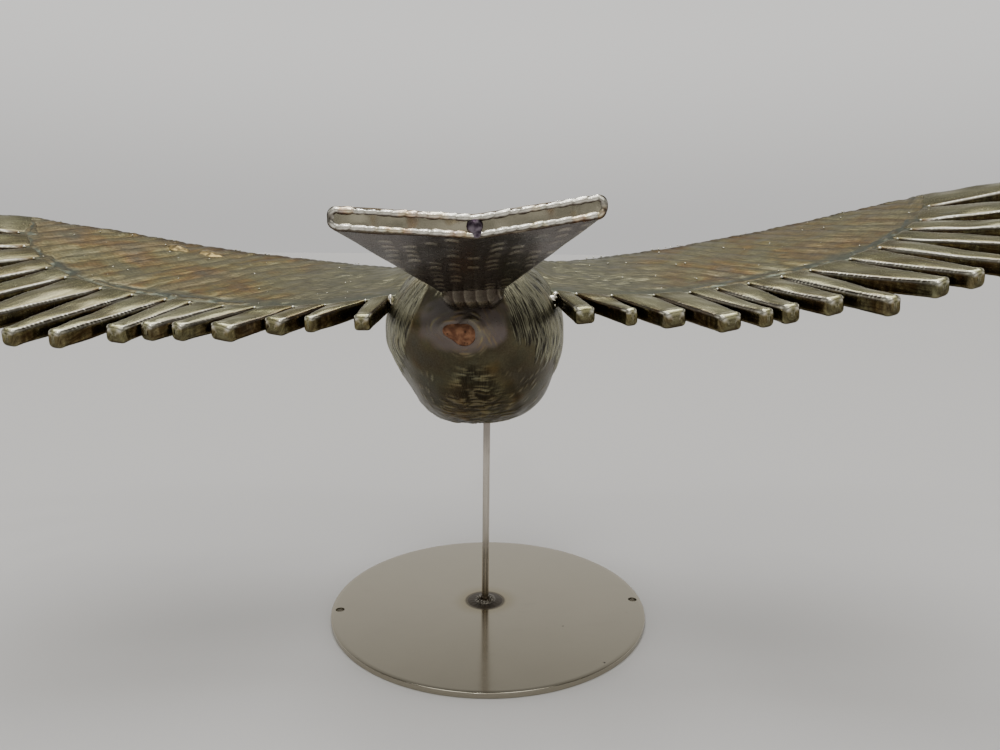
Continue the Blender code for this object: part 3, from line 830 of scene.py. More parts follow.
def makePanel(word, steel):
    # a flat box section from the seam to the front edge, carried outwards along the seam
    side = sides[word]
    seed = side["seed"]
    startOut = np.linspace(wing["innerEnd"], side["notches"][-1], panel["rows"])
    fronts = side["notches"][:-len(wing["frontEnds"])] + wing["frontEnds"]
    endOut = np.interp(startOut, (wing["innerEnd"],) + side["notches"], (wing["innerEnd"],) + fronts)
    start, end = stacked(startOut, seamLine(startOut)), stacked(endOut, frontLine(endOut))
    chord = np.linalg.norm(end - start, axis=1)[:, None]
    outline = boxOutline(*panel["steps"])
    radius = panel["radius"]
    v = 0.5 + 0.5 * (outline[:, 0] * (chord / 2 - radius) + outline[:, 2] * radius) / (chord / 2)
    thin = (wing["thickness"] - wing["frontThickness"]) * v ** 2
    half = (wing["thickness"] - thin) / 2
    plan = start[:, None] + (end - start)[:, None] * v[..., None]
    up = outline[:, 1] * (half - radius) + outline[:, 3] * radius
    out, along = plan[..., 0], plan[..., 1]
    top = wingTop(out, along, side["slope"])
    # near the body the upper face turns up into it by a square law, but not along its rear edge
    nearness = np.clip(1 - (out - panel["filletFrom"]) / panel["filletReach"], 0, 1.4) ** 2
    flare = panel["fillet"] * nearness * smoothStep(0.05, 0.5, v) * (outline[:, 3] > 0.3)
    height = top - half + up - wing["frontDroop"] * thin * v ** 6 + flare
    grid = stacked(side["side"] * out, along, height)
    fromSeam = v * chord
    face = np.abs(outline[:, 3]) * (0.55 + 0.45 * (outline[:, 3] > 0))
    waver = softNoise(seed + 3, out / 0.016, fromSeam / 0.016) - 0.5
    fine = softNoise(seed + 8, out / 0.005, fromSeam / 0.005) - 0.5
    run = drift(out, along) + 0.004 * waver
    mid = smoothStep(0.072, 0.105, out + 0.02 * waver)
    downRun = out - panel["slant"] * along
    hair = strands(seed, run, downRun, panel["hairWidth"], panel["hairLength"])
    crest, coin, _ = beadRows(seed + 5, run, (out - along) * 0.7, panel["bandWidth"], panel["coinPitch"])
    onSeam = 1 - smoothStep(0.55, 1.0, (fromSeam + 0.007 * waver + 0.004 * fine) / panel["seamBand"])
    atFront = smoothStep(0.90, 0.97, v)
    lobe = np.abs(np.sin(pi * (out / panel["edgePitch"] + 2 * waver)))
    banded = (panel["bandHeight"] * crest ** 0.4 + panel["coinHeight"] * coin * crest
              + 0.5 * panel["hairHeight"] * hair)
    raised = face * ((1 - mid) * panel["hairHeight"] * hair * (1 - 0.6 * onSeam)
                     + mid * (1 - onSeam) * banded
                     + (panel["waver"] * waver + panel["fineWaver"] * fine) * (1 - 0.5 * onSeam))
    grid = lift(grid, raised + panel["edgeHeight"] * atFront * lobe)
    row = np.floor(run / panel["bandWidth"])
    browned = hashed(seed + 6, row, 0)
    patchy = smoothStep(0.30, 0.62, softNoise(seed + 4, out / 0.022, run / 0.008))
    outer = smoothStep(0.080, 0.110, out) * (1 - 0.5 * smoothStep(0.200, 0.225, out))
    tint = outer * (0.40 + 0.45 * np.maximum(patchy, browned)) * (1 - onSeam) + 0.30 * patchy
    atRoot = 1 - smoothStep(0.045, 0.075, out + 0.01 * waver)
    relief = ((1 - mid) * (0.26 + 0.50 * hair) + 0.06 * atRoot
              + mid * (0.24 + 0.18 * crest ** 0.35 + 0.18 * coin * crest + 0.10 * hair))
    relief = relief * (1 - 0.5 * onSeam) + 0.18 * onSeam - 0.25 * atFront
    greened = np.maximum((0.60 + 0.8 * waver) * onSeam, 0.35 * (1 - mid))
    shades = tones(relief * (0.35 + 0.65 * face), tint, greened * face)
    flow = stacked(run + 1.0, downRun + 1.0)
    keep(skin("wing_" + word, toWorld(grid), shades, flow=flow), steel, "wing_steel", "wing_panel_" + word)


bar = {"thickness": 0.0075, "radius": 0.0017, "bury": 0.0065, "sinkFrom": 0.0025, "sink": 0.0013,
       "spacing": 0.00068, "steps": (8, 8, 7, 6),
       "tipSteps": 9, "tipDepth": 0.0020, "tipPower": 0.70, "tipClosed": 0.92,
       "beadPitch": 0.0022, "beadHeight": 0.00030, "crown": 0.00035,
       "streakWidth": 0.0019, "streakLength": 0.015, "streakHeight": 0.00012,
       "wallWidth": 0.0012, "wallLength": 0.006, "wallHeight": 0.00016, "waver": 0.0009, "swell": 0.00025}


def rootEnds(side, number):
    # the two seam points that a bar's root spans, drawn in and out by the gap
    lastOut = wing["frontEnds"][-1]
    spots = [(out, seamLine(out)) for out in side["notches"]] + [(lastOut, frontLine(lastOut))]
    inner, outer = np.array(spots[number]), np.array(spots[number + 1])
    run = (outer - inner) / np.linalg.norm(outer - inner)
    away = np.array((run[1], -run[0])) * wing["gap"]
    return inner + run * wing["gap"] + away, outer - run * wing["gap"] + away


def makeFeather(word, number, steel):
    # a box section from the root's line to the tip's line, with a blunt end like a cushion: a
    # quarter of a superellipse of the inset and the reach. Behind the root it runs on over the
    # panel and sinks into it.
    side = sides[word]
    seed = side["seed"] + 10 * number
    length, sweep, tipWidth = side["feathers"][number]
    inner, outer = rootEnds(side, number)
    way = np.array((sin(radians(sweep)), -cos(radians(sweep))))
    skew = radians(max(sweep - wing["tipSkew"], 0))
    across = np.array((cos(skew), sin(skew)))
    tip = (inner + outer) / 2 + way * length
    depth = min(bar["tipDepth"], 0.4 * tipWidth)
    closed = bar["tipClosed"] * min(tipWidth, bar["thickness"]) / 2
    straight = np.linspace(-bar["bury"], length - depth, int((length + bar["bury"]) / bar["spacing"]))
    bend = pi / 2 * np.arange(1, bar["tipSteps"] + 1) / (bar["tipSteps"] + 0.5)
    reach = np.concatenate([straight, length - depth + depth * np.sin(bend) ** bar["tipPower"]])
    inset = np.concatenate([0 * straight, closed * (1 - np.cos(bend) ** bar["tipPower"])])[:, None]
    t = np.maximum(reach / length, 0)[:, None]
    behind = np.minimum(reach, 0)[:, None]
    near = inner + t * (tip - across * tipWidth / 2 - inner) + behind * way
    far = outer + t * (tip + across * tipWidth / 2 - outer) + behind * way
    halfWide = np.linalg.norm(far - near, axis=1)[:, None] / 2
    outline = boxOutline(*bar["steps"])
    halfTall = bar["thickness"] / 2
    smallest = np.minimum(halfWide, halfTall) - inset
    radius = np.minimum(bar["radius"] + 0.5 * inset, 0.85 * smallest)
    wide, up = boxSection(outline, halfWide - inset, halfTall - inset, radius)
    plan = ((near + far) / 2)[:, None] + ((far - near) / 2 / halfWide)[:, None] * wide[..., None]
    sunk = bar["sink"] * smoothStep(bar["sinkFrom"], bar["bury"], -behind)
    top = wingTop(plan[..., 0], plan[..., 1], side["slope"]) - sunk
    grid = stacked(side["side"] * plan[..., 0], plan[..., 1], top - halfTall + up)
    along = reach[:, None] * np.ones(len(outline))
    share = wide / halfWide
    onTop = np.clip(outline[:, 3], 0, 1) ** 3
    onWall = np.abs(outline[:, 2]) ** 3
    edge = (2 * np.abs(outline[:, 2] * outline[:, 3])) ** 2
    topEdge = edge * (outline[:, 3] > 0)
    lobe = np.abs(np.sin(pi * (along / bar["beadPitch"] + hashed(seed, np.sign(outline[:, 2]), 0))))
    coin = hashed(seed + 1, np.floor(along / bar["beadPitch"]), np.sign(outline[:, 2]))
    scallop = (0.25 + 0.75 * np.sqrt(lobe)) * (0.45 + 0.55 * coin)
    streak = strands(seed + 2, wide, along, bar["streakWidth"], bar["streakLength"])
    mottled = strands(seed + 3, along, up, bar["wallWidth"], bar["wallLength"])
    waver = softNoise(seed + 4, along / 0.012, wide / 0.010 + 3) - 0.5
    slow = softNoise(seed + 6, along / 0.024, 0 * along + seed)
    atTip = smoothStep(length - 0.0050, length - 0.0015, along)
    onEnd = smoothStep(0.15, 0.5, inset / closed) * np.ones(len(outline))
    rooted = 1 - smoothStep(0.0, 0.009, along)
    fading = smoothStep(-bar["bury"], -0.25 * bar["bury"], along)
    height = (bar["beadHeight"] * scallop * (topEdge + 0.45 * (edge - topEdge)) * (1 - 0.8 * rooted)
              + bar["crown"] * onTop * (1 - share ** 2) * fading
              + bar["streakHeight"] * streak * onTop
              + bar["wallHeight"] * mottled * onWall
              + bar["waver"] * waver * (1 - rooted) + bar["swell"] * atTip)
    grid = lift(grid, height * (1 - 0.9 * onEnd))
    # painted highlight: a light streak down the middle of each bar's top face
    middle = 1 - smoothStep(0.25, 0.95, np.abs(share))
    # painted glints: small dots of polish along the middle bars' edges, and a painted highlight in a thin
    # unbroken line along the outermost ones'
    unbroken = smoothStep(8, 11, number)
    dotted = smoothStep(2, 7, number) * (1 - unbroken) * (1 - rooted) * (1 - atTip) * topEdge ** 2
    # on the top, a painted highlight along its middle, besides the streaks
    relief = (onTop * (0.34 + 0.26 * middle * (0.4 + 0.8 * slow) * (1 - 0.6 * rooted) + 0.14 * streak)
              + onWall * (0.03 + 0.30 * mottled) + 0.10 * (edge - topEdge) + 0.12 * atTip)
    # a dark line along each upper edge, which the dots break
    relief = relief * (1 - 0.55 * topEdge * (1 - atTip) * (1 - dotted))
    endPatch = softNoise(seed + 7, wide / 0.003 + 9, up / 0.003 + 9)
    # painted light: the end face lighter towards its top and darker towards its bottom, besides its random
    # patches
    relief = relief * (1 - onEnd) + onEnd * (0.28 + 0.16 * endPatch + 0.16 * up / halfTall)
    tint = 0.15 + 0.65 * topEdge + 0.6 * onWall + 0.3 * (1 - slow) * onTop - 0.25 * atTip
    # polish: lower roughness, and a light colour that is painted highlight on the dots, the outermost bars'
    # edge line, the middle of the tops and the tips' upper edges
    polish = (0.10 * topEdge * scallop * (1 - rooted) + 0.9 * dotted
              + 0.8 * unbroken * topEdge ** 4 * (0.6 + 0.4 * scallop) * (1 - rooted)
              + 0.12 * middle * onTop * slow * (1 - rooted) + 0.85 * atTip * topEdge)
    name = "%s_%02d" % (word, number + 1)
    shades = tones(relief, tint, polish * (1 - 0.7 * onEnd), 1 - dotted)
    keep(skin("bar_" + name, toWorld(grid), shades, axis=boxAxis(bar["steps"])), steel,
         "feather_steel", "feather_" + name)


seamWeld = {"rows": 460, "around": 24, "halfWidth": 0.0030, "wristWidth": 0.0042, "halfHeight": 0.0006,
            "sink": 0.0003, "innerSink": 0.0010, "shift": 0.0050, "lumpLength": 0.0040, "lump": 0.0006,
            "smallLump": 0.00022, "from": 0.040, "pastFront": 0.0015, "smoothRounds": 12}


def makeSeamWeld(word, steel):
    # a flat lens section that follows the bars' ends on the upper side and ends at the front edge,
    # lumpy like poured metal, and sunk into the panel near the body
    side = sides[word]
    out = np.linspace(seamWeld["from"], side["notches"][-1], 1200)
    bent = stacked(out, seamLine(out))
    lastOut = wing["frontEnds"][-1]
    corner = np.array((lastOut, frontLine(lastOut) - seamWeld["pastFront"]))
    path = np.concatenate([bent, bent[-1] + (corner - bent[-1]) * np.linspace(0.02, 1, 80)[:, None]])
    length = lengthAlong(path)
    even = np.linspace(0, length[-1], seamWeld["rows"])
    path = stacked(np.interp(even, length, path[:, 0]), np.interp(even, length, path[:, 1]))
    step = np.gradient(path, axis=0)
    for _ in range(seamWeld["smoothRounds"]):
        step[1:-1] = (step[:-2] + 2 * step[1:-1] + step[2:]) / 4
    step /= np.linalg.norm(step, axis=1, keepdims=True)
    square = stacked(-step[:, 1], step[:, 0])
    turn = circle(seamWeld["around"])
    run = even[:, None]
    ends = np.sqrt(np.clip(1 - (2 * run / run[-1] - 1) ** 12, 0.0004, 1))
    lumps = softNoise(side["seed"] + 7, run / seamWeld["lumpLength"], np.cos(turn) * 1.8 + 4)
    small = softNoise(side["seed"] + 9, run / 0.0016, np.cos(turn) * 4 + 4)
    widening = seamWeld["wristWidth"] - seamWeld["halfWidth"]
    width = seamWeld["halfWidth"] + widening * smoothStep(0.15, 0.22, run)
    edge = 0.70 + 0.65 * softNoise(side["seed"] + 8, run / 0.006, np.sign(np.cos(turn)) * 3 + 9)
    wide = np.cos(turn) * width * ends * edge + seamWeld["shift"]
    proud = seamWeld["halfHeight"] * ends * np.sign(np.sin(turn)) * np.sin(turn) ** 2
    uneven = seamWeld["lump"] * (lumps - 0.5) + seamWeld["smallLump"] * (small - 0.5)
    up = proud + uneven * np.abs(np.sin(turn)) * ends
    plan = path[:, None] + square[:, None] * wide[..., None]
    buried = seamWeld["innerSink"] * (1 - smoothStep(0.080, 0.125, plan[..., 0]))
    top = wingTop(plan[..., 0], plan[..., 1], side["slope"]) - seamWeld["sink"] - buried
    grid = stacked(side["side"] * plan[..., 0], plan[..., 1], top + up)
    shades = tones(0.14 + 0.16 * lumps + 0.10 * small, 0.30 * lumps, 0.9 * smoothStep(0.30, 0.65, 1 - lumps))
    flow = stacked(drift(plan[..., 0], plan[..., 1]) + 1.0, plan[..., 0] + 1.0)
    keep(skin("seam_weld_" + word, toWorld(grid), shades, flow=flow), steel, "wing_steel")


spatter = {"count": 46, "least": 0.00025, "most": 0.00055, "from": 0.055, "span": 0.180,
           "notchSize": 0.0009, "notchBack": 0.0006, "atNotch": 0.0002, "onFace": 0.0004, "onEdge": -0.0002}


def makeSpatter(word, steel):
    # a bead at every notch, and small drops scattered over the panel, every third of them along its
    # front edge. The last value of a place is its height over the wing.
    side = sides[word]
    seed = side["seed"]
    places, radii = [], []
    for out in side["notches"][1:]:
        places.append((out, seamLine(out) - spatter["notchBack"], spatter["atNotch"]))
        radii.append(spatter["notchSize"] * (0.7 + 0.5 * hashed(seed, out * 1000, 1)))
    for number in range(spatter["count"]):
        out = spatter["from"] + spatter["span"] * hashed(seed + 1, number, 0)
        low, high = seamLine(out), frontLine(out)
        onEdge = number % 3 == 0
        share = 0.985 if onEdge else 0.05 + 0.9 * hashed(seed + 2, number, 0)
        places.append((out, low + (high - low) * share, spatter["onEdge" if onEdge else "onFace"]))
        radii.append(spatter["least"] + (spatter["most"] - spatter["least"]) * hashed(seed + 3, number, 0))
    places = np.array(places)
    heights = wingTop(places[:, 0], places[:, 1], side["slope"]) + places[:, 2]
    points = stacked(side["side"] * places[:, 0], places[:, 1], heights)
    piece = drops("spatter_" + word, points, radii, (1.0, 1.0, 0.8), (1.0, 0.1, 0.9, 1.0), 4, 7)
    keep(piece, steel, "wing_steel")


strawWeld = {"middles": ((0.1668, 0.0193), (0.1478, 0.0190)), "reach": (0.0072, 0.0040), "lean": radians(10),
             "dome": 0.0010, "lump": 0.0009, "under": 0.0012, "rows": 20, "around": 64}
strawLook = {
    "dark": (0.110, 0.080, 0.034), "light": (0.36, 0.265, 0.105), "cloudScale": 420.0,
    "cloudSpread": (0.38, 0.66), "rough": 0.36, "bump": 0.5, "bumpDepth": 0.0003}


def makeStrawWeld():
    # two low mounds of straw-coloured weld near the left wing's front edge: a square-law dome over
    # an uneven oval, on the wing's own slope and closed underneath
    material = mottledWeld("straw weld", strawLook)
    turn = circle(strawWeld["around"])
    share, front = moundShares(strawWeld["rows"])
    c, s = cos(strawWeld["lean"]), sin(strawWeld["lean"])
    for number, (middleOut, middleAlong) in enumerate(strawWeld["middles"]):
        edge = share * (0.75 + 0.5 * softNoise(97 + number, 1.6 * np.cos(turn) + 5, 1.6 * np.sin(turn) + 5))
        a, b = strawWeld["reach"][0] * edge * np.cos(turn), strawWeld["reach"][1] * edge * np.sin(turn)
        out, along = middleOut + a * c - b * s, middleAlong + a * s + b * c
        lumps = strawWeld["lump"] * (softNoise(99 + number, out / 0.0025, along / 0.0025) - 0.5) * (1 - share)
        up = np.where(front, strawWeld["dome"] * (1 - share ** 2) + lumps, -strawWeld["under"])
        grid = stacked(-out, along, wingTop(out, along, sides["left"]["slope"]) + up)
        keep(skin("straw_weld_%d" % (number + 1), toWorld(grid), plainTone), material, "wing_steel")


wingSteel = weldedSteel("wing steel", wingLook)
featherSteel = weldedSteel("feather steel", featherLook)
for word in sides:
    makePanel(word, wingSteel)
    for number in range(len(sides[word]["feathers"])):
        makeFeather(word, number, featherSteel)
    makeSeamWeld(word, wingSteel)
    makeSpatter(word, featherSteel)
makeStrawWeld()
print("wings welded")


# Tail: a fan with a crease, bright beads round its blunt end, and a collar on the rump

tail = {
    # along, half thickness, then place across and height of the left end, crease and right end
    "root": (-0.0560, 0.0044, (-0.0115, 0.0395), (0.0012, 0.0395), (0.0140, 0.0400)),
    "end": (-0.1385, 0.0042, (-0.0461, 0.0700), (0.0060, 0.0655), (0.0530, 0.0716)),
    "rows": 142, "faceRows": 8, "steps": (120, 120, 5, 10), "radius": 0.0034, "sharpest": 0.0002,
    # how far apart the rows of coins spread at the root, and how much further at the end
    "spread": (0.0125, 0.028), "leftOpen": 0.0004,
    "rowWidth": 0.0066, "coinPitch": 0.0058, "rowHeight": 0.00004, "coinHeight": 0.00018,
    "broadHeight": 0.0006, "faceHeight": 0.0004, "faceDip": 0.0001}
tailLook = {
    "valley": (0.050, 0.038, 0.030), "crest": (0.46, 0.42, 0.33), "polished": (0.46, 0.43, 0.32),
    "lined": 0.5, "polishAmount": 1.0, "rough": 0.28, "roughSpread": 0.08, "polishRough": 0.04,
    "hair": (160.0, 700.0, 1.0), "bendScale": 120.0, "bend": (0.8, 0.8, 0.0), "hairShare": 0.14,
    "grainScale": 700.0, "grainShare": 0.16, "cloudScale": 60.0, "low": 0.10, "high": 1.0,
    "tintAmount": 0.7, "bump": 0.22, "bumpDepth": 0.0003}
beadLook = {
    "valley": (0.060, 0.042, 0.030), "crest": (0.92, 0.89, 0.77), "polished": (0.99, 0.96, 0.88),
    "lined": 0.0, "polishAmount": 0.5, "rough": 0.24, "roughSpread": 0.05, "polishRough": 0.04,
    "hair": (500.0, 500.0, 1.0), "bendScale": 200.0, "bend": (0.5, 0.5, 0.0), "hairShare": 0.2,
    "grainScale": 700.0, "grainShare": 0.20, "cloudScale": 110.0, "low": 0.0, "high": 0.9,
    "tintAmount": 0.85, "bump": 0.12, "bumpDepth": 0.0002}


def tailSection(t, halfTall, inset, outline, radius):
    # the box section of the fan at t from root to end, folded along the crease
    root, end = tail["root"], tail["end"]
    left, crease, right = (np.array(root[n]) + t[:, None] * (np.array(end[n]) - np.array(root[n]))
                           for n in (2, 3, 4))
    halfWide = (right[:, :1] - left[:, :1]) / 2
    wide, up = boxSection(outline, halfWide - inset, halfTall - inset, radius)
    x = (right[:, :1] + left[:, :1]) / 2 + wide
    onLeft = (x - left[:, :1]) / (crease[:, :1] - left[:, :1])
    onRight = (x - crease[:, :1]) / (right[:, :1] - crease[:, :1])
    fold = np.where(x < crease[:, :1],
                    left[:, 1:] + (crease[:, 1:] - left[:, 1:]) * onLeft,
                    crease[:, 1:] + (right[:, 1:] - crease[:, 1:]) * onRight)
    y = root[0] + t[:, None] * (end[0] - root[0])
    return stacked(x, y, fold + up), x - crease[:, :1], halfWide


def makeTail(steel):
    # the fan's section carried from its root to its blunt end, where it closes in smaller and
    # smaller rings; rows of lapped coins on both faces and wrinkles on the end
    outline = boxOutline(*tail["steps"])
    t = np.concatenate([np.linspace(0, 1, tail["rows"]), np.ones(tail["faceRows"])])
    halfTall = (tail["root"][1] + t * (tail["end"][1] - tail["root"][1]))[:, None]
    insets = np.linspace(0, tail["end"][1] - tail["leftOpen"], tail["faceRows"] + 1)[1:]
    inset = np.concatenate([np.zeros(tail["rows"]), insets])[:, None]
    radius = np.maximum(tail["radius"] - inset, tail["sharpest"])
    grid, fromCrease, halfWide = tailSection(t, halfTall, inset, outline, radius)
    onFace = smoothStep(0.0, 0.0012, inset) * np.ones(len(outline))
    flat = np.abs(outline[:, 3]) ** 3 * (1 - onFace)
    along = (t * (tail["root"][0] - tail["end"][0]))[:, None] * np.ones(len(outline))
    spread = fromCrease / halfWide * (tail["spread"][0] + tail["spread"][1] * t[:, None])
    wobble = 0.0012 * (softNoise(82, spread / 0.008, along / 0.008) - 0.5)
    crest, coin, own = beadRows(81, spread + 0.0033 + wobble, along + 2 * wobble,
                                tail["rowWidth"], tail["coinPitch"])
    mottled = softNoise(83, fromCrease / 0.0045, grid[..., 2] / 0.004)
    broad = softNoise(84, fromCrease / 0.012, along / 0.014)
    central = np.exp(-(spread / 0.020) ** 2)
    picked = smoothStep(0.30, 0.80, own) * (0.35 + 0.65 * central)
    # painted highlights: thin light dashes on the crests of the coins, stronger near the crease, the rest of
    # each face left dark
    dash = smoothStep(0.35, 0.80, crest) * smoothStep(0.30, 0.55, coin) * picked
    height = (flat * (tail["rowHeight"] * crest + tail["coinHeight"] * coin * crest * picked
                      + tail["broadHeight"] * (broad - 0.5))
              + onFace * (tail["faceHeight"] * (mottled - 0.5) - tail["faceDip"]))
    grid = lift(grid, height)
    wrinkles = strands(86, fromCrease, grid[..., 2], 0.0016, 0.007)
    relief = (flat * (0.13 + 0.70 * dash) + 0.25 * (1 - flat) * (1 - onFace)
              + onFace * (0.50 + 0.30 * wrinkles))
    tint = flat * (0.35 + 0.45 * broad) * (1 - dash) + onFace * (0.20 + 0.7 * smoothStep(0.60, 0.85, mottled))
    shades = tones(relief, tint, onFace * (0.75 - 0.55 * smoothStep(0.55, 0.85, mottled)), 1 - onFace)
    keep(skin("tail_fan", toWorld(grid), shades, axis=boxAxis(tail["steps"])), steel, "tail_steel", "tail")


edgeBead = {"inset": 0.00125, "radius": 0.00145, "around": 14, "steps": (330, 330, 6, 22),
            "pitch": 0.0046, "swell": 0.20, "uneven": 0.18, "behind": 0.0010}


def makeTailBead(steel):
    # a round bead carried along the outline of the fan's blunt end, swelling at every coin
    outline = boxOutline(*edgeBead["steps"])
    inset = np.array([[edgeBead["inset"]]])
    ring, _, _ = tailSection(np.ones(1), tail["end"][1], inset, outline, tail["radius"] - inset)
    path = ring[0] + np.array((0.0, edgeBead["behind"], 0.0))
    run = lengthAlong(path)[:, None]
    outward = stacked(outline[:, 2], 0.0, outline[:, 3])
    backward = np.array((0.0, -1.0, 0.0))
    turn = circle(edgeBead["around"])
    jitter = 0.35 * softNoise(90, run / 0.005, 0 * run)
    place = run / edgeBead["pitch"] + jitter + 0.22 * np.cos(turn)
    lobe = np.sqrt(np.abs(np.sin(pi * place)))
    coin = hashed(91, np.floor(place), 0)
    small = softNoise(92, run / 0.0012, np.sin(turn) + 2)
    radius = edgeBead["radius"] * (1 + edgeBead["swell"] * (lobe - 0.6) + edgeBead["uneven"] * (coin - 0.5)
                                   + 0.10 * (small - 0.5))
    grid = (path[:, None] + radius[..., None] * (np.cos(turn)[None, :, None] * outward[:, None]
                                                + np.sin(turn)[None, :, None] * backward))
    tint = smoothStep(0.45, 0.8, softNoise(93, run / 0.007, 0 * run)) * np.ones(len(turn))
    # painted light and shade: bright where the bead faces up and on its swellings, dark below and at the
    # fan's two ends, and polished only on the lit side
    facing = np.cos(turn) * outward[:, 2:] + 0.25 * np.sin(turn)
    paintedLight = smoothStep(-0.25, 0.30, facing) * (1 - 0.75 * np.abs(outward[:, :1]) ** 3)
    shades = tones(paintedLight * (0.55 + 0.45 * lobe) + 0.03, tint, paintedLight * lobe)
    keep(skin("tail_edge_bead", toWorld(grid), shades, looped=True), steel, "tail_steel")


collar = {"from": -0.0500, "to": -0.0668, "middle": (0.0014, 0.0378), "halfWide": 0.0146, "halfTall": 0.0080,
          "rows": 44, "capRows": 16, "steps": (70, 70, 17, 16), "radius": 0.0066, "sharpest": 0.0002,
          "roundOver": 0.0040, "leftOpen": 0.0044, "sag": 0.0012, "bulge": 0.0041, "bulgeTall": 0.0082,
          "pitch": 0.0052, "height": 0.0005}


def makeCollar(steel):
    # a fat ring of lapped coins round the root of the fan, rounded over at its back
    outline = boxOutline(*collar["steps"])
    t = np.concatenate([np.linspace(0, 1, collar["rows"]), np.ones(collar["capRows"])])[:, None]
    back = smoothStep(0.45, 1.0, t)
    flat = np.linspace(0, collar["halfTall"] - collar["leftOpen"], collar["capRows"] + 1)[1:, None]
    inset = (collar["roundOver"] * (1 - np.sqrt(1 - back ** 2))
             + np.concatenate([np.zeros((collar["rows"], 1)), flat]))
    radius = np.maximum(collar["radius"] - inset, collar["sharpest"])
    wide, up = boxSection(outline, collar["halfWide"] - inset, collar["halfTall"] - inset, radius)
    y = collar["from"] + t * (collar["to"] - collar["from"])
    sag = collar["sag"] * (wide / collar["halfWide"]) ** 2
    grid = stacked(collar["middle"][0] + wide, y, collar["middle"][1] + up + sag)
    bulge = collar["bulge"] * np.sqrt(np.clip(1 - (up / collar["bulgeTall"]) ** 2, 0, 1))
    place = -(wide + bulge) / collar["pitch"]
    coin = np.mod(place, 1.0)
    own = hashed(88, np.floor(place), 0)
    lapped = coin ** 1.2 * (1 - smoothStep(0.88, 1.0, coin))
    grid = lift(grid, collar["height"] * (lapped - 0.2) * smoothStep(0.0, 0.3, t))
    shades = tones(0.12 + 0.22 * lapped + 0.10 * own, 0.25, 0.04 * lapped, 0.3)
    keep(skin("tail_collar", toWorld(grid), shades, axis=boxAxis(collar["steps"])), steel, "tail_steel")


tailPlug = {
    # how far ahead of the blunt end its middle lies, and each ball's place from there and radius
    "ahead": 0.0010, "places": ((0.0, 0.0, 0.0003), (0.0006, -0.0001, -0.0022), (-0.0007, 0.0002, 0.0014)),
    "radii": (0.0034, 0.0024, 0.0025), "squash": (0.95, 0.70, 0.95)}
plugLook = {
    "dark": (0.045, 0.028, 0.045), "light": (0.20, 0.17, 0.20), "cloudScale": 500.0,
    "cloudSpread": (0.35, 0.7), "rough": 0.28, "bump": 0.4, "bumpDepth": 0.0003}


def makeTailPlug():
    # the dark violet stub of weld where the crease meets the blunt end
    end = tail["end"]
    middle = np.array((end[3][0], end[0] + tailPlug["ahead"], end[3][1]))
    piece = drops("tail_plug", middle + np.array(tailPlug["places"]), tailPlug["radii"], tailPlug["squash"],
                  (0.5, 0.5, 0.5, 0.0), 14, 24)
    keep(piece, mottledWeld("violet weld", plugLook), "tail_steel")


tailSteel = weldedSteel("tail steel", tailLook)
beadSteel = weldedSteel("bright weld", beadLook)
makeTail(tailSteel)
makeTailBead(beadSteel)
makeCollar(tailSteel)
makeTailPlug()
print("tail welded")


# Shoulder welds: bright drops where each wing's rear corner meets the body

shoulder = (
    # place in the bird's own frame, radius, and how it is stretched
    ((-0.0408, -0.0220, 0.0270), 0.0027, (0.8, 0.8, 1.5)),
    ((-0.0425, -0.0215, 0.0325), 0.0019, (0.8, 1.0, 1.4)),
    ((-0.0372, -0.0255, 0.0325), 0.0012, (1.0, 1.0, 1.2)),
    ((0.0405, -0.0230, 0.0310), 0.0021, (1.4, 0.9, 0.8)),
    ((0.0418, -0.0235, 0.0262), 0.0012, (0.8, 0.8, 1.5)),
    ((0.0425, -0.0200, 0.0330), 0.0013, (1.3, 1.0, 0.8)))
for number, (place, radius, squash) in enumerate(shoulder):
    piece = drops("shoulder_drop_%d" % number, [place], [radius], squash, (0.9, 0.2, 0.8, 0.0), 12, 20)
    keep(piece, beadSteel, "wing_steel")
print("shoulder welds set")


# Stand: plate, rod and the weld at the rod's foot

plate = {"radius": 0.090, "thickness": 0.003, "edge": 0.0005, "edgeSteps": 5, "around": 288,
         "firstRing": 0.006, "flatRings": 12, "rimBand": 0.002,
         "holeRadius": 0.0025, "holeCircle": 0.0852, "holeAngles": (radians(3.5), radians(187.0)),
         "holeSides": 48}
rod = {"foot": (-0.0020, 0.0025), "radius": 0.002, "lean": radians(0.2), "sink": 0.0002,
       "rows": 160, "around": 40, "top": 0.1130, "swell": 0.30, "swellLength": 0.004}


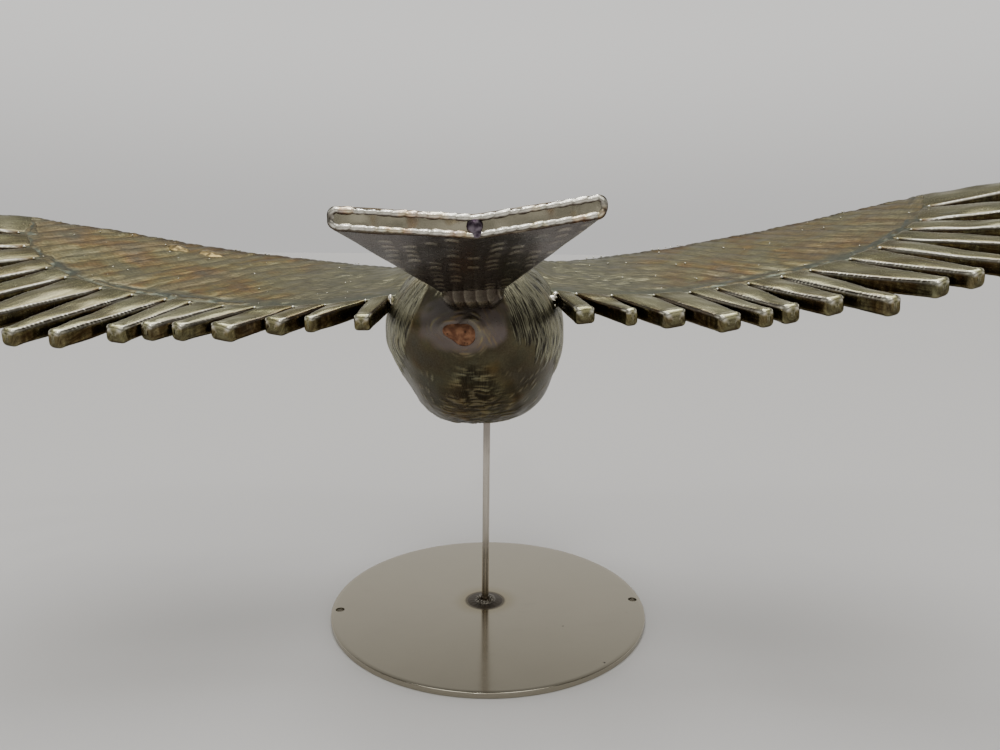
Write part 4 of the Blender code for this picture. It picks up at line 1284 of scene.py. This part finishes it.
def plateSteel():
    # satin ground plate: faint grain, cloudy scuffs, a few dark specks and the heat round the weld
    material, start, shader, place = blankMaterial("plate steel")
    centred = start.add("ShaderNodeMapping", None,
                        {"Vector": place, "Location": (-rod["foot"][0], -rod["foot"][1], 0.0)})
    away = start.add("ShaderNodeVectorMath", {"operation": "LENGTH"},
                     {0: stretch(start, centred, (1.0, 1.0, 0.0))}, 1)
    clouds = noise(start, place, 26.0, 4.0, 0.6)
    scuffs = noise(start, stretch(start, place, (60.0, 240.0, 60.0)), 1.0, 5.0, 0.7)
    grain = noise(start, stretch(start, place, (90.0, 2600.0, 90.0)), 1.0, 2.0)
    speck = specks(start, place, 85.0, 0.035, 0.075) * noise(start, place, 40.0, 0.0).rise(0.58, 0.64)
    warped = away + (clouds - 0.5) * 0.006
    halo = 1 - warped.rise(0.0095, 0.021)
    ring = 1 - (away - 0.0108).absolute().rise(0.0, 0.0016)
    smudge = scuffs.rise(0.62, 0.80) * 0.30
    base = clouds.mixColour((0.335, 0.307, 0.244), (0.383, 0.352, 0.279))
    worn = smudge.mixColour(base, (0.25, 0.225, 0.185))
    straw = (halo * 0.75).mixColour(worn, (0.29, 0.25, 0.16))
    dark = (ring * 0.75).mixColour(straw, (0.08, 0.065, 0.05))
    spotted = (speck * 0.85).mixColour(dark, (0.05, 0.045, 0.04))
    rough = 0.135 + (clouds - 0.5) * 0.10 + scuffs.rise(0.5, 0.8) * 0.06 + ring * 0.25 + speck * 0.3
    plug(start, shader, Base_Color=spotted, Metallic=1.0, Roughness=rough,
         Normal=bumped(start, 0.05, 0.0002, grain * 0.5 + scuffs * 0.3))
    return material


def rodSteel():
    # drawn rod: lines along it, straw and blue where the weld heated its foot, and painted shade near its
    # top, under the bird
    material, start, shader, place = blankMaterial("rod steel")
    height = start.add("ShaderNodeSeparateXYZ", None, {0: place}, 2)
    lines = noise(start, stretch(start, place, (1500.0, 1500.0, 30.0)), 1.0, 2.0)
    marks = noise(start, stretch(start, place, (300.0, 300.0, 90.0)), 1.0, 4.0)
    base = lines.mixColour((0.46, 0.42, 0.365), (0.63, 0.58, 0.51))
    heated = ((1 - height.rise(0.004, 0.022)) * 0.8).mixColour(base, (0.20, 0.155, 0.095))
    # painted shade: darker towards the top of the rod, under the bird's belly
    paintedShade = (height.rise(0.085, 0.108) * 0.55).mixColour(heated, (0.14, 0.12, 0.11))
    worn = (marks.rise(0.6, 0.75) * 0.4).mixColour(paintedShade, (0.18, 0.16, 0.14))
    plug(start, shader, Base_Color=worn, Metallic=1.0, Roughness=0.24 + (marks - 0.5) * 0.15,
         Normal=bumped(start, 0.1, 0.0001, lines))
    return material


def makePlate():
    # the profile from the middle of the top to the middle of the underside, turned about Z
    edge = plate["edge"]
    bend = np.linspace(0, pi / 2, plate["edgeSteps"] + 1)
    flat = np.linspace(plate["firstRing"], plate["radius"] - edge - plate["rimBand"], plate["flatRings"])
    out = np.concatenate([flat, plate["radius"] - edge + edge * np.sin(bend)])
    up = np.concatenate([np.full(len(flat), plate["thickness"]),
                         plate["thickness"] - edge + edge * np.cos(bend)])
    out, up = np.append(out, out[::-1])[:, None], np.append(up, plate["thickness"] - up[::-1])[:, None]
    turn = circle(plate["around"])
    disc = skin("plate", stacked(out * np.cos(turn), out * np.sin(turn), up), plainTone)
    for angle in plate["holeAngles"]:
        middle = (plate["holeCircle"] * cos(angle), plate["holeCircle"] * sin(angle), plate["thickness"] / 2)
        bpy.ops.mesh.primitive_cylinder_add(vertices=plate["holeSides"], radius=plate["holeRadius"],
                                            depth=4 * plate["thickness"], location=middle)
        drill = bpy.context.object
        cut = disc.modifiers.new("screw hole", "BOOLEAN")
        cut.object = drill
        cut.operation = "DIFFERENCE"
        with bpy.context.temp_override(object=disc, active_object=disc):
            bpy.ops.object.modifier_apply(modifier=cut.name)
        bpy.data.objects.remove(drill, do_unlink=True)
    disc.data.set_sharp_from_angle(angle=radians(40))
    keep(disc, plateSteel(), "plate_steel", "base_disc")


def makeRod():
    # a circle carried up along the lean, which swells where it meets the belly
    turn = circle(rod["around"])
    up = np.linspace(plate["thickness"] - rod["sink"], rod["top"], rod["rows"])[:, None]
    reach = rod["radius"] * (1 + rod["swell"] * smoothStep(rod["top"] - rod["swellLength"], rod["top"], up))
    x = rod["foot"][0] + (up - plate["thickness"]) * sin(rod["lean"]) + reach * np.cos(turn)
    grid = stacked(x, rod["foot"][1] + reach * np.sin(turn), up)
    keep(skin("stand_rod", grid, plainTone), rodSteel(), "rod_steel", "rod")


footWeld = {"inner": 0.0019, "outer": 0.01025, "beadMiddle": 0.0040, "beadHalf": 0.0022, "beadHeight": 0.0014,
            "skirt": 0.0005, "around": 170, "across": 32, "coins": 17, "sink": 0.0002, "wobble": 0.0003}


def footSteel():
    # dark in the valleys and bright on the crests (tone red): painted shade in the valleys and painted light
    # on the crests; browned by the heat (tone green) and smoother where tone blue is high
    material, start, shader, place = blankMaterial("foot weld steel")
    tone = start.add("ShaderNodeAttribute", {"attribute_name": "tone"})
    relief = start.add("ShaderNodeSeparateColor", None, {0: tone})
    spotty = noise(start, place, 700.0, 4.0, 0.65)
    height = (relief * 0.7 + spotty * 0.4 - 0.1).rise(0.1, 1.0)
    base = height.mixColour((0.045, 0.038, 0.03), (0.38, 0.35, 0.30))
    brown = (relief.other(1) * 0.6).mixColour(base, (0.075, 0.058, 0.04))
    plug(start, shader, Base_Color=brown, Metallic=1.0, Roughness=0.42 - relief.other(2) * 0.25,
         Normal=bumped(start, 0.5, 0.0003, spotty))
    return material


def makeFootWeld():
    # a section from the rod to the rim, a round bead and then a thin skirt of lapped coins,
    # turned about the rod and closed underneath
    s = np.linspace(0, 1, footWeld["across"])
    out = footWeld["inner"] + s * (footWeld["outer"] - footWeld["inner"])
    turn = circle(footWeld["around"])[:, None]
    bead = np.sqrt(np.clip(1 - ((out - footWeld["beadMiddle"]) / footWeld["beadHalf"]) ** 2, 0, 1))
    coin = np.mod(footWeld["coins"] * turn / (2 * pi) + 0.20 * np.sin(pi * s), 1.0)
    skirt = (1 - smoothStep(0.55, 1.0, s)) * (0.55 + 0.45 * coin)
    wobble = softNoise(71, 2.2 * np.cos(turn) + out / 0.003, 2.2 * np.sin(turn) + 9)
    up = (plate["thickness"] + footWeld["beadHeight"] * bead * (0.85 + 0.2 * coin)
          + footWeld["skirt"] * skirt + footWeld["wobble"] * wobble * (1 - s))
    under = np.full_like(up, plate["thickness"] - footWeld["sink"])
    ringOut = np.concatenate([out, out[::-1]])
    ringUp = np.concatenate([up, under], axis=1)
    grid = stacked(rod["foot"][0] + ringOut * np.cos(turn), rod["foot"][1] + ringOut * np.sin(turn), ringUp)
    below = 0 * up
    # tone red rises on the bead and the coins: painted light on the crests, painted shade between them
    relief = np.concatenate([0.25 + 0.5 * bead * coin + 0.3 * (1 - coin) * skirt, below], axis=1)
    tint = np.concatenate([smoothStep(0.45, 0.75, s) + below, below], axis=1)
    polish = np.concatenate([bead + below, below], axis=1)
    piece = skin("foot_bead", grid, tones(relief, tint, polish), looped=True)
    keep(piece, footSteel(), "weld_steel", "foot_weld")


makePlate()
makeRod()
makeFootWeld()
print("stand made")


# a face of n corners is n - 2 triangles
triangles = [len(item.data.loops) - 2 * len(item.data.polygons) for item in bpy.data.objects
             if item.type == "MESH" and "tone" in item.data.attributes]
print("triangles:", sum(triangles), "in all,", max(triangles), "at most in a piece")
